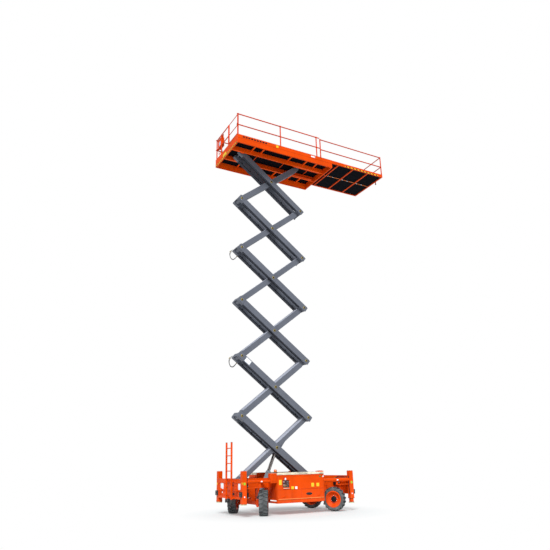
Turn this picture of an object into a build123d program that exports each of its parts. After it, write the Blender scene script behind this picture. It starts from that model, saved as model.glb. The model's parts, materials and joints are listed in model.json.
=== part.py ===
"""Rough-terrain scissor lift: a wheeled chassis, six crossed arm pairs and an extending platform.

Millimetres, +Z up. The ladder end, with the steered wheels, faces -X, and the side with the control
window faces -Y and is called near. Sizes are laid out from a datum on the ground under the middle of
the chassis, and the finished pieces are written with the origin on the ground under the middle of
the whole machine.
"""
import os
from math import cos, radians, sin, tan

from build123d import *

os.makedirs("parts", exist_ok=True)

NEAR, FAR = -1, 1
MIDDLE_X = 1355.0             # middle of the whole machine, measured from the chassis datum

# ---- scissor stack ---------------------------------------------------------------------------
LEVELS = 6
ARM_PITCH = 3700.0            # end pin to end pin
ARM_ANGLE = 37.86             # slope of every arm as raised
PIVOT_X = -1965.0             # fixed lower pivot
PIVOT_Z = 1165.0
OUTER_DEPTH = 240.0
OUTER_INSIDE = 150.0          # half of the gap between the two outer side arms
OUTER_OUTSIDE = 300.0
INNER_DEPTH = 240.0
INNER_END_DEPTH = 200.0       # the rounded ends, and the whole of the lowest arm, over the cylinders
INNER_TAPER = 200.0           # length of the slim part, in from the end pins
INNER_HALF = 140.0            # half width of an inner arm, which folds between the side arms
PIN_R = 30.0
CROSS_PIN_R = 35.0
PIN_FIT = 0.05                # radial running clearance of a hinge pin
OPEN_FIT = 1.0                # radial clearance of the end pins that carry no joint
PIN_REACH = 325.0             # half length of a pin in the stack
LONG_PIN_REACH = 384.0        # half length of the pins held by chassis and platform
ROLLER_R = 50.0

HALF_PITCH = ARM_PITCH / 2
LEVEL_RISE = ARM_PITCH * sin(radians(ARM_ANGLE))
HALF_SPAN = HALF_PITCH * cos(radians(ARM_ANGLE))
CROSS_X = PIVOT_X + HALF_SPAN
TOP_PIVOT_Z = PIVOT_Z + LEVELS * LEVEL_RISE

# ---- chassis -----------------------------------------------------------------------------------
POST_X, POST_Y = 2260.0, 1057.5
POST_SIZE, POST_WALL = 165.0, 10.0
POST_BOTTOM = 430.0
END_X = POST_X + POST_SIZE / 2
SIDE_Y = POST_Y + POST_SIZE / 2
BEAM_INSIDE, BEAM_OUTSIDE = 390.0, 450.0
BEAM_BOTTOM, BEAM_TOP = 900.0, 1235.0
HOUSING_FRONT, HOUSING_REAR = -980.0, 1000.0
HOUSING_INSIDE = 456.0
HOUSING_BOTTOM, HOUSING_TOP = 495.0, 1405.0
SHEET = 8.0
SILL_BOTTOM = 390.0

# ---- wheels ------------------------------------------------------------------------------------
FRONT_AXLE_X, REAR_AXLE_X = -1580.0, 1660.0
TYRE_R, TYRE_WIDTH = 427.0, 315.0
WHEEL_Z = TYRE_R
RIM_FLANGE_R, RIM_R, RIM_BORE_R = 290.0, 270.0, 256.0
FRONT_KINGPIN_Y, REAR_KINGPIN_Y = 760.0, 850.0
FRONT_OFFSET, REAR_OFFSET = 220.0, 124.0      # kingpin to the middle of the wheel
SPINDLE_R = 30.0
KINGPIN_R = 25.0

# ---- lift cylinders ------------------------------------------------------------------------------
CYLINDER_Y = 68.0
FOOT_X, FOOT_Z = -1120.0, 560.0
EYE_ALONG, EYE_BELOW = 1795.0, 185.0     # rod eye on the lowest inner arm, from its fixed pivot
LUG_INSIDE, LUG_OUTSIDE = 104.0, 134.0   # the outer lugs on each side of the cylinders
BARREL_R, ROD_R = 56.0, 30.0

# ---- platform ------------------------------------------------------------------------------------
DECK_LEFT, DECK_RIGHT = -2590.0, 2240.0
DECK_HALF_WIDTH = 1200.0
FLOOR_HALF_WIDTH = 1130.0
DECK_BOTTOM = TOP_PIVOT_Z - 165       # lower edge of the beams around the platform
DECK_BEAM_BOTTOM = TOP_PIVOT_Z - 90   # and of the two beams over the arms
FLOOR_UNDERSIDE = TOP_PIVOT_Z + 115
FLOOR_TOP = FLOOR_UNDERSIDE + 20
FLOOR_EDGE = FLOOR_TOP - 4    # the lower rim around the floor, which carries posts and toe boards
TOE_TOP = FLOOR_TOP + 90
RAIL_TOP = FLOOR_TOP + 1150
MID_RAIL = FLOOR_TOP + 590
RAIL_R, POST_R = 24.0, 26.0   # guard rail tubes and the posts that carry them
END_RAIL_R = 22.0
TOP_RAIL = RAIL_TOP - POST_R  # middle of the top tube
RAIL_Y = 1160.0
GATE_POST_Y, GATE_LATCH_Y = -170.0, -1110.0
EXT_LEFT, EXT_RIGHT = 1600.0, 5300.0
EXT_HALF_WIDTH = 1110.0
EXT_BOTTOM = FLOOR_TOP + 8
EXT_FLOOR = EXT_BOTTOM + 50
EXT_TOP = EXT_BOTTOM + 150
EXT_RAIL_Y = 1084.0


def save(part, name):
    """Move a finished piece to the machine's origin, label it and write it under its node name."""
    placed = Pos(-MIDDLE_X, 0, 0) * part
    placed.label = name
    export_step(placed, f"parts/{name}.step")


def bar(x0, x1, y0, y1, z0, z1, mode=Mode.ADD):
    """A straight block between two corners, added to the open part."""
    with Locations(((x0 + x1) / 2, (y0 + y1) / 2, (z0 + z1) / 2)):
        Box(abs(x1 - x0), abs(y1 - y0), abs(z1 - z0), mode=mode)


def rod(start, end, radius, mode=Mode.ADD):
    """A round bar from start to end, added to the open part."""
    run = Vector(*end) - Vector(*start)
    with Locations(Plane(origin=start, z_dir=run)):
        Cylinder(radius, run.length, align=(Align.CENTER, Align.CENTER, Align.MIN), mode=mode)


def disc(plane, start, end, radius, mode=Mode.ADD):
    """A round slice square to a plane, from one offset to another."""
    with Locations(plane.offset(start)):
        Cylinder(radius, end - start, align=(Align.CENTER, Align.CENTER, Align.MIN), mode=mode)


# ---- planes of the arms: x runs from the left end to the right end, z points to the near side ----
def crossing(level):
    return (CROSS_X, 0, PIVOT_Z + LEVEL_RISE * (level + 0.5))


def outer_plane(level):
    slope = radians(ARM_ANGLE)
    return Plane(origin=crossing(level), x_dir=(cos(slope), 0, -sin(slope)), z_dir=(0, -1, 0))


def inner_plane(level):
    slope = radians(ARM_ANGLE)
    return Plane(origin=crossing(level), x_dir=(cos(slope), 0, sin(slope)), z_dir=(0, -1, 0))


LEFT_END, RIGHT_END = (-HALF_PITCH, 0), (HALF_PITCH, 0)
ARM_OVERHANG = 130.0          # length of an outer arm past its end pins
BOSS_THICKNESS = 12.0
HOSE_CLAMP = (-HALF_PITCH + 150, -HALF_PITCH + 190, -85, 85)     # left, right, bottom, top on the arm
HOSE_CLAMP_Y = 390.0
HOSE_LEVELS = (1, 3)          # levels whose outer arms carry a loop of hoses at the left end


def outer_arm(level):
    """Two side arms tied by end plates and their pins."""
    plane = outer_plane(level)
    top, bottom = level == LEVELS - 1, level == 0
    with BuildPart() as arm:
        for start in (OUTER_INSIDE, -OUTER_OUTSIDE):
            with BuildSketch(plane.offset(start)) as side:
                Rectangle(ARM_PITCH + 2 * ARM_OVERHANG, OUTER_DEPTH)
                chamfer(side.vertices(), 30)
                if top:
                    with BuildLine():
                        Polyline(
                            (-HALF_PITCH - ARM_OVERHANG - 1, -20),
                            (-HALF_PITCH - 104, 10),
                            (-HALF_PITCH - 78, 66),
                            (-HALF_PITCH - 40, 95),
                            (-HALF_PITCH + 330, OUTER_DEPTH / 2 + 1),
                            (-HALF_PITCH - ARM_OVERHANG - 1, OUTER_DEPTH / 2 + 1),
                            close=True,
                        )
                    make_face(mode=Mode.SUBTRACT)
            extrude(amount=OUTER_OUTSIDE - OUTER_INSIDE)
        with BuildSketch(plane.offset(-OUTER_INSIDE)):
            ends = [(-HALF_PITCH - 118, 0), (HALF_PITCH + 118, 0)]
            with Locations(ends[1:] if top else ends):
                Rectangle(12, OUTER_DEPTH - 70)
        extrude(amount=2 * OUTER_INSIDE)
        disc(plane, -PIN_REACH, PIN_REACH, CROSS_PIN_R)
        for centre, reach in (
            (LEFT_END, LONG_PIN_REACH if top else PIN_REACH),
            (RIGHT_END, LONG_PIN_REACH if bottom else PIN_REACH),
        ):
            with BuildSketch(plane.offset(-reach)):
                with Locations(centre):
                    Circle(PIN_R)
            extrude(amount=2 * reach)
        for start in (OUTER_OUTSIDE, -OUTER_OUTSIDE - BOSS_THICKNESS):
            with BuildSketch(plane.offset(start)):
                Circle(58)
                if not bottom:
                    with Locations(RIGHT_END):
                        Circle(48)
                if not top:
                    with Locations(LEFT_END):
                        Circle(48)
            extrude(amount=BOSS_THICKNESS)
        if level in HOSE_LEVELS:
            left, right, low, high = HOSE_CLAMP
            with BuildSketch(plane.offset(-HOSE_CLAMP_Y)):
                with Locations(((left + right) / 2, (low + high) / 2)):
                    Rectangle(right - left, high - low)
            extrude(amount=HOSE_CLAMP_Y - OUTER_OUTSIDE)
        if bottom:
            for start in (322, -378):
                with BuildSketch(plane.offset(start)):
                    with Locations(RIGHT_END):
                        Circle(ROLLER_R)
                extrude(amount=56)
    return arm.part


def inner_arm(level):
    """One box arm with rounded ends, and on the lowest arm the lugs of the lift cylinders."""
    plane = inner_plane(level)
    top, bottom = level == LEVELS - 1, level == 0
    fit = PIN_FIT if level % 2 == 0 else OPEN_FIT
    lug_x, lug_root = EYE_ALONG - HALF_PITCH, 15 - INNER_END_DEPTH / 2
    with BuildPart() as arm:
        with BuildSketch(plane.offset(-INNER_HALF)):
            SlotCenterToCenter(ARM_PITCH, INNER_END_DEPTH)
            if not bottom:
                with BuildSketch(mode=Mode.PRIVATE) as middle:
                    Rectangle(ARM_PITCH - 2 * INNER_TAPER, INNER_DEPTH)
                    chamfer(middle.vertices(), (INNER_DEPTH - INNER_END_DEPTH) / 2)
                add(middle.sketch)
        extrude(amount=2 * INNER_HALF)
        if bottom:
            for start, thickness in ((LUG_INSIDE, LUG_OUTSIDE - LUG_INSIDE), (-30, 60),
                                     (-LUG_OUTSIDE, LUG_OUTSIDE - LUG_INSIDE)):
                with BuildSketch(plane.offset(start)):
                    with BuildLine():
                        Polyline(
                            (560, lug_root),
                            (lug_x + 60, -EYE_BELOW - 50),
                            (lug_x - 50, -EYE_BELOW - 50),
                            (lug_x - 120, lug_root),
                            close=True,
                        )
                    make_face()
                extrude(amount=thickness)
        disc(plane, -INNER_HALF, INNER_HALF, CROSS_PIN_R + PIN_FIT, mode=Mode.SUBTRACT)
        bored = [end for end, plain in ((LEFT_END, bottom), (RIGHT_END, top)) if not plain]
        with BuildSketch(plane.offset(-INNER_HALF)):
            with Locations(bored):
                Circle(PIN_R + fit)
        extrude(amount=2 * INNER_HALF, mode=Mode.SUBTRACT)
        if bottom or top:
            with BuildSketch(plane.offset(-LONG_PIN_REACH)):
                with Locations(LEFT_END if bottom else RIGHT_END):
                    Circle(PIN_R)
            extrude(amount=2 * LONG_PIN_REACH)
        if top:
            for start in (322, -378):
                with BuildSketch(plane.offset(start)):
                    with Locations(RIGHT_END):
                        Circle(ROLLER_R)
                extrude(amount=56)
    return arm.part


for level in range(LEVELS):
    save(outer_arm(level), f"outer_arm_{level + 1}")
    save(inner_arm(level), f"inner_arm_{level + 1}")

# ---- hose loops that join the levels: both ends held by a clamp on the far side arm ---------------
HOSE_R = 9.0
HOSE_ROUTES = (               # place across the machine, points from the arm's left pin
    (344.0, (
        (150, 55), (70, 55), (-15, 62), (-95, 38), (-158, -28), (-182, -118), (-165, -212),
        (-105, -298), (-15, -362), (75, -388), (140, -352), (168, -268), (170, -175), (170, -85),
    )),
    (372.0, (
        (150, 28), (72, 28), (-5, 30), (-72, 5), (-122, -52), (-142, -128), (-130, -208),
        (-85, -282), (-12, -338), (66, -358), (128, -326), (156, -250), (165, -165), (165, -85),
    )),
)


def bend_radii(points):
    """The largest bend that each corner's two runs leave room for."""
    radii = []
    for before, corner, after in zip(points, points[1:], points[2:]):
        first, second = Vector(*corner) - Vector(*before), Vector(*after) - Vector(*corner)
        turn = radians(first.get_angle(second))
        radii.append(0.45 * min(first.length, second.length) / tan(turn / 2))
    return radii


for level in HOSE_LEVELS:
    with BuildPart() as hoses:
        for y, points in HOSE_ROUTES:
            radii = bend_radii(points)
            with BuildLine(outer_plane(level).offset(-y)) as route:
                FilletPolyline(*[(x - HALF_PITCH, rise) for x, rise in points], radius=radii)
            path = route.wires()[0]
            with BuildSketch(Plane(origin=path @ 0, z_dir=path % 0)):
                Circle(HOSE_R)
            sweep(path=path)
            print(f"hose {level + 1}: {path.length:.0f} mm long, bends {min(radii):.0f} mm and wider")
    save(hoses.part, f"arm_hoses_{level + 1}")

# ---- lift cylinders: two side by side, from a foot in the chassis to the lowest inner arm --------
slope = radians(ARM_ANGLE)
EYE_X = PIVOT_X + EYE_ALONG * cos(slope) + EYE_BELOW * sin(slope)
EYE_Z = PIVOT_Z + EYE_ALONG * sin(slope) - EYE_BELOW * cos(slope)
CYLINDER_RUN = Vector(EYE_X - FOOT_X, 0, EYE_Z - FOOT_Z)
CYLINDER_LENGTH = CYLINDER_RUN.length
BARREL_LENGTH = 980.0


def along_cylinder(y, distance):
    """A point on a cylinder's axis, that far from its foot pin."""
    share = distance / CYLINDER_LENGTH
    return (FOOT_X + CYLINDER_RUN.X * share, y, FOOT_Z + CYLINDER_RUN.Z * share)


FOOT_PLANE = Plane(origin=(FOOT_X, 0, FOOT_Z), x_dir=(1, 0, 0), z_dir=(0, -1, 0))
EYE_PLANE = Plane(origin=(EYE_X, 0, EYE_Z), x_dir=(1, 0, 0), z_dir=(0, -1, 0))

with BuildPart() as lift_barrels:
    for y in (-CYLINDER_Y, CYLINDER_Y):
        rod(along_cylinder(y, 70), along_cylinder(y, BARREL_LENGTH), BARREL_R)
        rod(along_cylinder(y, BARREL_LENGTH - 70), along_cylinder(y, BARREL_LENGTH), BARREL_R + 6)
        rod(along_cylinder(y, 0), along_cylinder(y, 90), 35)
        disc(FOOT_PLANE, -y - 40, -y + 40, 52)
        rod(along_cylinder(y, 130), along_cylinder(y, BARREL_LENGTH + 1), ROD_R + 2, mode=Mode.SUBTRACT)
    disc(FOOT_PLANE, -150, 150, PIN_R)
save(lift_barrels.part, "lift_barrels")

with BuildPart() as lift_rods:
    for y in (-CYLINDER_Y, CYLINDER_Y):
        rod(along_cylinder(y, 760), along_cylinder(y, CYLINDER_LENGTH - 20), ROD_R)
        disc(EYE_PLANE, -y - 30, -y + 30, 48)
save(lift_rods.part, "lift_rods")

# ---- chassis frame -------------------------------------------------------------------------------
CHANNEL_LEFT, CHANNEL_RIGHT = 640.0, 2060.0
CHANNEL_HALF_GAP = ROLLER_R + 6
CHANNEL_FLANGE = 14.0
BRACKET_INSIDE = 329.0
AXLE_HALF = 60.0
AXLE_TOP = WHEEL_Z + AXLE_HALF
LASHING_Y, LASHING_Z = 700.0, 870.0
LASHING_OUT = 50.0            # hole of a lashing eye, out from the end plate
LASHING_R, LASHING_HOLE_R = 42.0, 22.0
LASHING_HALF = 10.0

with BuildPart() as chassis_frame:
    for side in (NEAR, FAR):
        bar(-2270, 2270, side * BEAM_INSIDE, side * BEAM_OUTSIDE, BEAM_BOTTOM, BEAM_TOP)
        for flange in (PIVOT_Z - CHANNEL_HALF_GAP - CHANNEL_FLANGE, PIVOT_Z + CHANNEL_HALF_GAP):
            bar(
                CHANNEL_LEFT, CHANNEL_RIGHT, side * 312, side * (BEAM_INSIDE + 1),
                flange, flange + CHANNEL_FLANGE,
            )
        bar(
            PIVOT_X - 90, PIVOT_X + 90, side * BRACKET_INSIDE, side * (BEAM_INSIDE + 1),
            PIVOT_Z - 100, BEAM_TOP,
        )
        bar(
            HOUSING_FRONT, HOUSING_REAR, side * (SIDE_Y - 80), side * SIDE_Y,
            SILL_BOTTOM, HOUSING_BOTTOM,
        )
        for axle_x, end_x in ((FRONT_AXLE_X, -2270), (REAR_AXLE_X, 2270)):
            bar(axle_x, end_x, side * 420, side * BEAM_OUTSIDE, 600, BEAM_BOTTOM)
    for x in (HOUSING_FRONT, HOUSING_REAR - 80):
        bar(x, x + 80, -SIDE_Y, SIDE_Y, SILL_BOTTOM, 450)
        for side in (NEAR, FAR):
            bar(x, x + 80, side * BEAM_INSIDE, side * BEAM_OUTSIDE, 450, BEAM_BOTTOM)
    for x in (-2270, 2210):
        bar(x, x + 60, -BEAM_INSIDE, BEAM_INSIDE, BEAM_BOTTOM, 1010)
    for x in (FRONT_AXLE_X, REAR_AXLE_X):
        bar(x - 65, x + 65, -BEAM_OUTSIDE, BEAM_OUTSIDE, AXLE_TOP, 560)
        for side in (NEAR, FAR):
            bar(x - 65, x + 65, side * BEAM_INSIDE, side * BEAM_OUTSIDE, 560, BEAM_BOTTOM)
    bar(FRONT_AXLE_X + 65, HOUSING_FRONT + 80, -220, 220, 430, 500)
    for side in (NEAR, FAR):
        with BuildSketch(FOOT_PLANE.offset(LUG_INSIDE + 10 if side == NEAR else -LUG_OUTSIDE)):
            Circle(60)
            with Locations((0, -60)):
                Rectangle(120, 120)
        extrude(amount=20)
    disc(FOOT_PLANE, -150, 150, PIN_R + PIN_FIT, mode=Mode.SUBTRACT)
    PIVOT_PLANE = Plane(origin=(PIVOT_X, 0, PIVOT_Z), x_dir=(1, 0, 0), z_dir=(0, -1, 0))
    disc(PIVOT_PLANE, -LONG_PIN_REACH - 2, LONG_PIN_REACH + 2, PIN_R + PIN_FIT, mode=Mode.SUBTRACT)
save(chassis_frame.part, "chassis_frame")

# ---- end frames: stepped cross plates between the corner posts, with lashing eyes -----------------
END_PLATE_X = 2270.0
END_STEPS = (                 # bottom, top, outer face
    (578.0, 657.0, END_X),
    (657.0, 843.0, 2300.0),
    (843.0, 1094.0, 2325.0),
    (1094.0, 1240.0, END_X),
)

with BuildPart() as end_frames:
    for end in (-1, 1):
        for low, high, face in END_STEPS:
            half = POST_Y - POST_SIZE / 2
            bar(end * END_PLATE_X, end * face, -half, half, low, high)
        for side in (NEAR, FAR):
            eye_x = END_X + LASHING_OUT
            with BuildSketch(Plane.XZ.offset(LASHING_HALF - side * LASHING_Y)):
                with Locations((end * eye_x, LASHING_Z)):
                    Circle(LASHING_R)
                with Locations((end * (eye_x + 2320) / 2, LASHING_Z)):
                    Rectangle(eye_x - 2320, 2 * LASHING_R)
                with Locations((end * eye_x, LASHING_Z)):
                    Circle(LASHING_HOLE_R, mode=Mode.SUBTRACT)
            extrude(amount=-2 * LASHING_HALF)
save(end_frames.part, "end_frames")

# ---- outrigger posts with the side tubes that brace them, and the legs -----------------------------
LEG_SIZE = 124.0
SIDE_TUBE_Y = 1060.0
CORNERS = (                   # name, x and y direction, post top, tube height, radius, inner end, foot
    ("front_near", -1, NEAR, 1490.0, 1140.0, 52.0, 1240.0, 395.0),
    ("front_far", -1, FAR, 1490.0, 1140.0, 52.0, 1240.0, 395.0),
    ("rear_near", 1, NEAR, 1410.0, 1098.0, 66.0, 1006.0, 270.0),
    ("rear_far", 1, FAR, 1410.0, 1098.0, 66.0, 1006.0, 270.0),
)

with BuildPart() as outrigger_posts:
    for _, end, side, top, tube_z, tube_r, tube_end, _ in CORNERS:
        x, y = end * POST_X, side * POST_Y
        half, bore = POST_SIZE / 2, POST_SIZE / 2 - POST_WALL
        inner_face = end * (POST_X - half)
        bar(x - half, x + half, y - half, y + half, POST_BOTTOM, top)
        rod((inner_face, side * SIDE_TUBE_Y, tube_z), (end * tube_end, side * SIDE_TUBE_Y, tube_z), tube_r)
        for near_x, far_x in ((tube_end + 30, tube_end + 90), (2100, 2160)):
            bar(
                end * near_x, end * far_x, side * BEAM_OUTSIDE, side * SIDE_TUBE_Y,
                tube_z - 35, tube_z + 35,
            )
        bar(end * 1600, inner_face, side * 1035, side * 1085, 925, 950)
        bar(end * 1600, end * 1680, side * 1054, side * 1066, 945, tube_z)
        bar(x - bore, x + bore, y - bore, y + bore, POST_BOTTOM, top - 12, mode=Mode.SUBTRACT)
save(outrigger_posts.part, "outrigger_posts")

for name, end, side, _, _, _, _, foot_z in CORNERS:
    x, y = end * POST_X, side * POST_Y
    with BuildPart() as leg:
        bar(x - LEG_SIZE / 2, x + LEG_SIZE / 2, y - LEG_SIZE / 2, y + LEG_SIZE / 2, foot_z + 30, 1300)
        rod((x, y, foot_z), (x, y, foot_z + 30), 105)
    save(leg.part, f"outrigger_leg_{name}")

# ---- axles, knuckles and wheels --------------------------------------------------------------------
KINGPIN_BOSS_R = 46.0
KINGPIN_BOSS_HALF = 95.0
YOKE_GAP, YOKE_PLATE = 6.0, 24.0

with BuildPart() as axles:
    for x, kingpin_y in ((FRONT_AXLE_X, FRONT_KINGPIN_Y), (REAR_AXLE_X, REAR_KINGPIN_Y)):
        bar(x - 55, x + 55, 60 - kingpin_y, kingpin_y - 60, WHEEL_Z - AXLE_HALF, AXLE_TOP)
        for side in (NEAR, FAR):
            y = side * kingpin_y
            bar(x - 34, x + 34, side * (kingpin_y - 70), y, WHEEL_Z - 80, WHEEL_Z + 80)
            low, high = WHEEL_Z - KINGPIN_BOSS_HALF, WHEEL_Z + KINGPIN_BOSS_HALF
            rod((x, y, low), (x, y, high), KINGPIN_BOSS_R)
            rod((x, y, low), (x, y, high), KINGPIN_R + PIN_FIT, mode=Mode.SUBTRACT)
save(axles.part, "axles")


def steered_outward(side, steer):
    """Unit vector from the kingpin to the wheel, turned counterclockwise by the steering."""
    turn = radians(steer)
    return Vector(sin(turn) * (1 if side == NEAR else -1), side * cos(turn), 0)


WHEELS = (                    # name, kingpin x, kingpin y, kingpin to wheel, side, steering angle
    ("front_near", FRONT_AXLE_X, -FRONT_KINGPIN_Y, FRONT_OFFSET, NEAR, 60.0),
    ("front_far", FRONT_AXLE_X, FRONT_KINGPIN_Y, FRONT_OFFSET, FAR, 54.0),
    ("rear_near", REAR_AXLE_X, -REAR_KINGPIN_Y, REAR_OFFSET, NEAR, -50.0),
    ("rear_far", REAR_AXLE_X, REAR_KINGPIN_Y, REAR_OFFSET, FAR, -44.0),
)
HUB_INNER = 30.0              # inner end of a wheel's hub, inboard of the wheel's middle

for name, kingpin_x, kingpin_y, offset, side, steer in WHEELS:
    outward = steered_outward(side, steer)
    kingpin = Vector(kingpin_x, kingpin_y, WHEEL_Z)
    centre = kingpin + outward * offset
    reach = YOKE_GAP + KINGPIN_BOSS_HALF
    spindle = Plane(origin=kingpin, x_dir=(0, 0, 1), z_dir=outward)
    upright = Plane(origin=kingpin, x_dir=outward, z_dir=(0, 0, 1))
    with BuildPart() as knuckle:
        for start in (reach, -reach - YOKE_PLATE):
            with BuildSketch(upright.offset(start)):
                Circle(44)
                with Locations((36, 0)):
                    Rectangle(72, 88)
            extrude(amount=YOKE_PLATE)
        disc(upright, -reach - YOKE_PLATE, reach + YOKE_PLATE, KINGPIN_R)
        with BuildSketch(spindle.offset(54)):
            Rectangle(2 * (reach + YOKE_PLATE), 88)
        extrude(amount=20)
        disc(spindle, 70, offset - HUB_INNER - 6, 60)
        disc(spindle, 80, offset + 55, SPINDLE_R)
    save(knuckle.part, f"knuckle_{name}")

    wheel = Plane(origin=centre, x_dir=(0, 0, 1), z_dir=outward)
    half = TYRE_WIDTH / 2
    with BuildPart() as tyre:
        with BuildSketch(Plane(origin=centre, x_dir=(0, 0, 1), z_dir=outward.cross(Vector(0, 0, 1)))):
            with BuildLine():
                Polyline(
                    (RIM_R, -half + 22), (RIM_R, half - 22), (RIM_FLANGE_R, half - 22),
                    (RIM_FLANGE_R + 6, half - 8), (RIM_FLANGE_R + 30, half),
                    (TYRE_R - 45, half - 2), (TYRE_R - 12, half - 22), (TYRE_R, half - 45),
                    (TYRE_R, -half + 45), (TYRE_R - 12, -half + 22), (TYRE_R - 45, -half + 2),
                    (RIM_FLANGE_R + 30, -half), (RIM_FLANGE_R + 6, -half + 8), (RIM_FLANGE_R, -half + 22),
                    close=True,
                )
            make_face()
        revolve(axis=Axis(centre, outward))
    save(tyre.part, f"tyre_{name}")

    with BuildPart() as rim:
        disc(wheel, -half + 10, half - 10, RIM_R)
        disc(wheel, -half + 10, -half + 22, RIM_FLANGE_R)
        disc(wheel, half - 22, half - 10, RIM_FLANGE_R)
        disc(wheel, -half, 8, RIM_BORE_R, mode=Mode.SUBTRACT)
        disc(wheel, 22, half, RIM_BORE_R, mode=Mode.SUBTRACT)
        disc(wheel, -HUB_INNER, 95, 78)
        disc(wheel, 22, 36, 130)
        disc(wheel, -HUB_INNER, 65, SPINDLE_R + PIN_FIT, mode=Mode.SUBTRACT)
    save(rim.part, f"rim_{name}")

# ---- side housings, doors and engine ---------------------------------------------------------------
DOOR_BOTTOM = 505.0
DOOR_HINGE_Z, DOOR_HINGE_R = 1314.0, 9.0
CONTROL_WINDOW = (-757.0, -497.0, 915.0, 1154.0)     # left, right, bottom, top, in the near door
DOOR_GAP = 4.0
LID_BOTTOM = 1330.0

with BuildPart() as side_housings:
    for side in (NEAR, FAR):
        inside, outside = side * HOUSING_INSIDE, side * SIDE_Y
        bar(HOUSING_FRONT, HOUSING_REAR, inside, outside, HOUSING_BOTTOM, HOUSING_TOP)
        bar(
            HOUSING_FRONT + SHEET, HOUSING_REAR - SHEET, inside + side * SHEET, outside - side * 30,
            HOUSING_BOTTOM + SHEET, LID_BOTTOM - SHEET, mode=Mode.SUBTRACT,
        )
        bar(
            HOUSING_FRONT + 22, HOUSING_REAR - 22, side * (SIDE_Y - 31), side * (SIDE_Y + 1),
            DOOR_BOTTOM - DOOR_GAP, LID_BOTTOM, mode=Mode.SUBTRACT,
        )
        bar(800, HOUSING_REAR, side * 900, outside, HOUSING_TOP, HOUSING_TOP + 30)
save(side_housings.part, "side_housings")

for name, side in (("near", NEAR), ("far", FAR)):
    with BuildPart() as door:
        bar(
            HOUSING_FRONT + 28, HOUSING_REAR - 28, side * (SIDE_Y - 24), side * SIDE_Y,
            DOOR_BOTTOM + 4, DOOR_HINGE_Z,
        )
        bar(
            HOUSING_FRONT + 60, HOUSING_REAR - 60, side * (SIDE_Y - 25), side * (SIDE_Y - 4),
            DOOR_BOTTOM + 40, DOOR_HINGE_Z - 34, mode=Mode.SUBTRACT,
        )
        hinge = (side * (SIDE_Y - 2), DOOR_HINGE_Z)
        rod((HOUSING_FRONT + 40, *hinge), (HOUSING_REAR - 40, *hinge), DOOR_HINGE_R)
        if side == NEAR:
            left, right, low, high = CONTROL_WINDOW
            bar(left, right, -SIDE_Y - 1, -SIDE_Y + 25, low, high, mode=Mode.SUBTRACT)
    save(door.part, f"housing_door_{name}")

with BuildPart() as engine_block:
    bar(-300, 560, 560, 1000, HOUSING_BOTTOM + SHEET, 1120)
save(engine_block.part, "engine_block")

# ---- ladder ------------------------------------------------------------------------------------------
LADDER_X, LADDER_Y = -2440.0, -210.0
LADDER_HALF = 225.0
LADDER_BOTTOM, LADDER_TOP = 455.0, 2480.0
RUNG_PITCH = 260.0

with BuildPart() as ladder:
    for side in (-1, 1):
        y = LADDER_Y + side * LADDER_HALF
        bar(LADDER_X - 32, LADDER_X + 32, y - 13, y + 13, LADDER_BOTTOM, LADDER_TOP)
        for z in (617, 1167):
            bar(LADDER_X + 30, -END_X, y - 20, y + 20, z - 25, z + 25)
    for step in range(7):
        z = 2284 - step * RUNG_PITCH
        rod((LADDER_X, LADDER_Y - LADDER_HALF, z), (LADDER_X, LADDER_Y + LADDER_HALF, z), 14)
save(ladder.part, "ladder")

# ---- platform ----------------------------------------------------------------------------------------
CROSS_MEMBERS = (-1560.0, -1110.0, 280.0, 1100.0, 1640.0)

with BuildPart() as platform_deck:
    bar(DECK_LEFT, DECK_RIGHT, -DECK_HALF_WIDTH, DECK_HALF_WIDTH, FLOOR_UNDERSIDE, FLOOR_EDGE)
    bar(DECK_LEFT + 70, EXT_LEFT - 10, -FLOOR_HALF_WIDTH, FLOOR_HALF_WIDTH, FLOOR_EDGE, FLOOR_TOP)
    for side in (NEAR, FAR):
        edge = side * DECK_HALF_WIDTH
        bar(DECK_LEFT, DECK_RIGHT, edge, edge - side * 50, DECK_BOTTOM, FLOOR_UNDERSIDE)
        bar(DECK_LEFT, DECK_RIGHT, edge, edge - side * 12, FLOOR_EDGE, TOE_TOP)
        bar(DECK_LEFT, DECK_RIGHT, side * BEAM_INSIDE, side * BEAM_OUTSIDE, DECK_BEAM_BOTTOM, FLOOR_UNDERSIDE)
        for x in CROSS_MEMBERS:
            bar(x - 25, x + 25, side * BEAM_OUTSIDE, edge - side * 50, FLOOR_UNDERSIDE - 60, FLOOR_UNDERSIDE)
        for flange in (TOP_PIVOT_Z - CHANNEL_HALF_GAP - CHANNEL_FLANGE, TOP_PIVOT_Z + CHANNEL_HALF_GAP):
            bar(
                CHANNEL_LEFT, CHANNEL_RIGHT, side * 312, side * (BEAM_INSIDE + 1),
                flange, flange + CHANNEL_FLANGE,
            )
        bar(
            PIVOT_X - 80, PIVOT_X + 80, side * BRACKET_INSIDE, side * (BEAM_INSIDE + 1),
            DECK_BEAM_BOTTOM + 5, FLOOR_UNDERSIDE,
        )
    bar(DECK_LEFT, DECK_LEFT + 50, -DECK_HALF_WIDTH, DECK_HALF_WIDTH, DECK_BOTTOM, FLOOR_UNDERSIDE)
    bar(DECK_RIGHT - 50, DECK_RIGHT, -DECK_HALF_WIDTH, DECK_HALF_WIDTH, DECK_BOTTOM, FLOOR_UNDERSIDE)
    bar(DECK_LEFT, DECK_LEFT + 12, -DECK_HALF_WIDTH, DECK_HALF_WIDTH, FLOOR_EDGE, TOE_TOP)
    TOP_PIVOT_PLANE = Plane(origin=(PIVOT_X, 0, TOP_PIVOT_Z), x_dir=(1, 0, 0), z_dir=(0, -1, 0))
    disc(TOP_PIVOT_PLANE, -LONG_PIN_REACH - 2, LONG_PIN_REACH + 2, PIN_R + PIN_FIT, mode=Mode.SUBTRACT)
save(platform_deck.part, "platform_deck")

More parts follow.
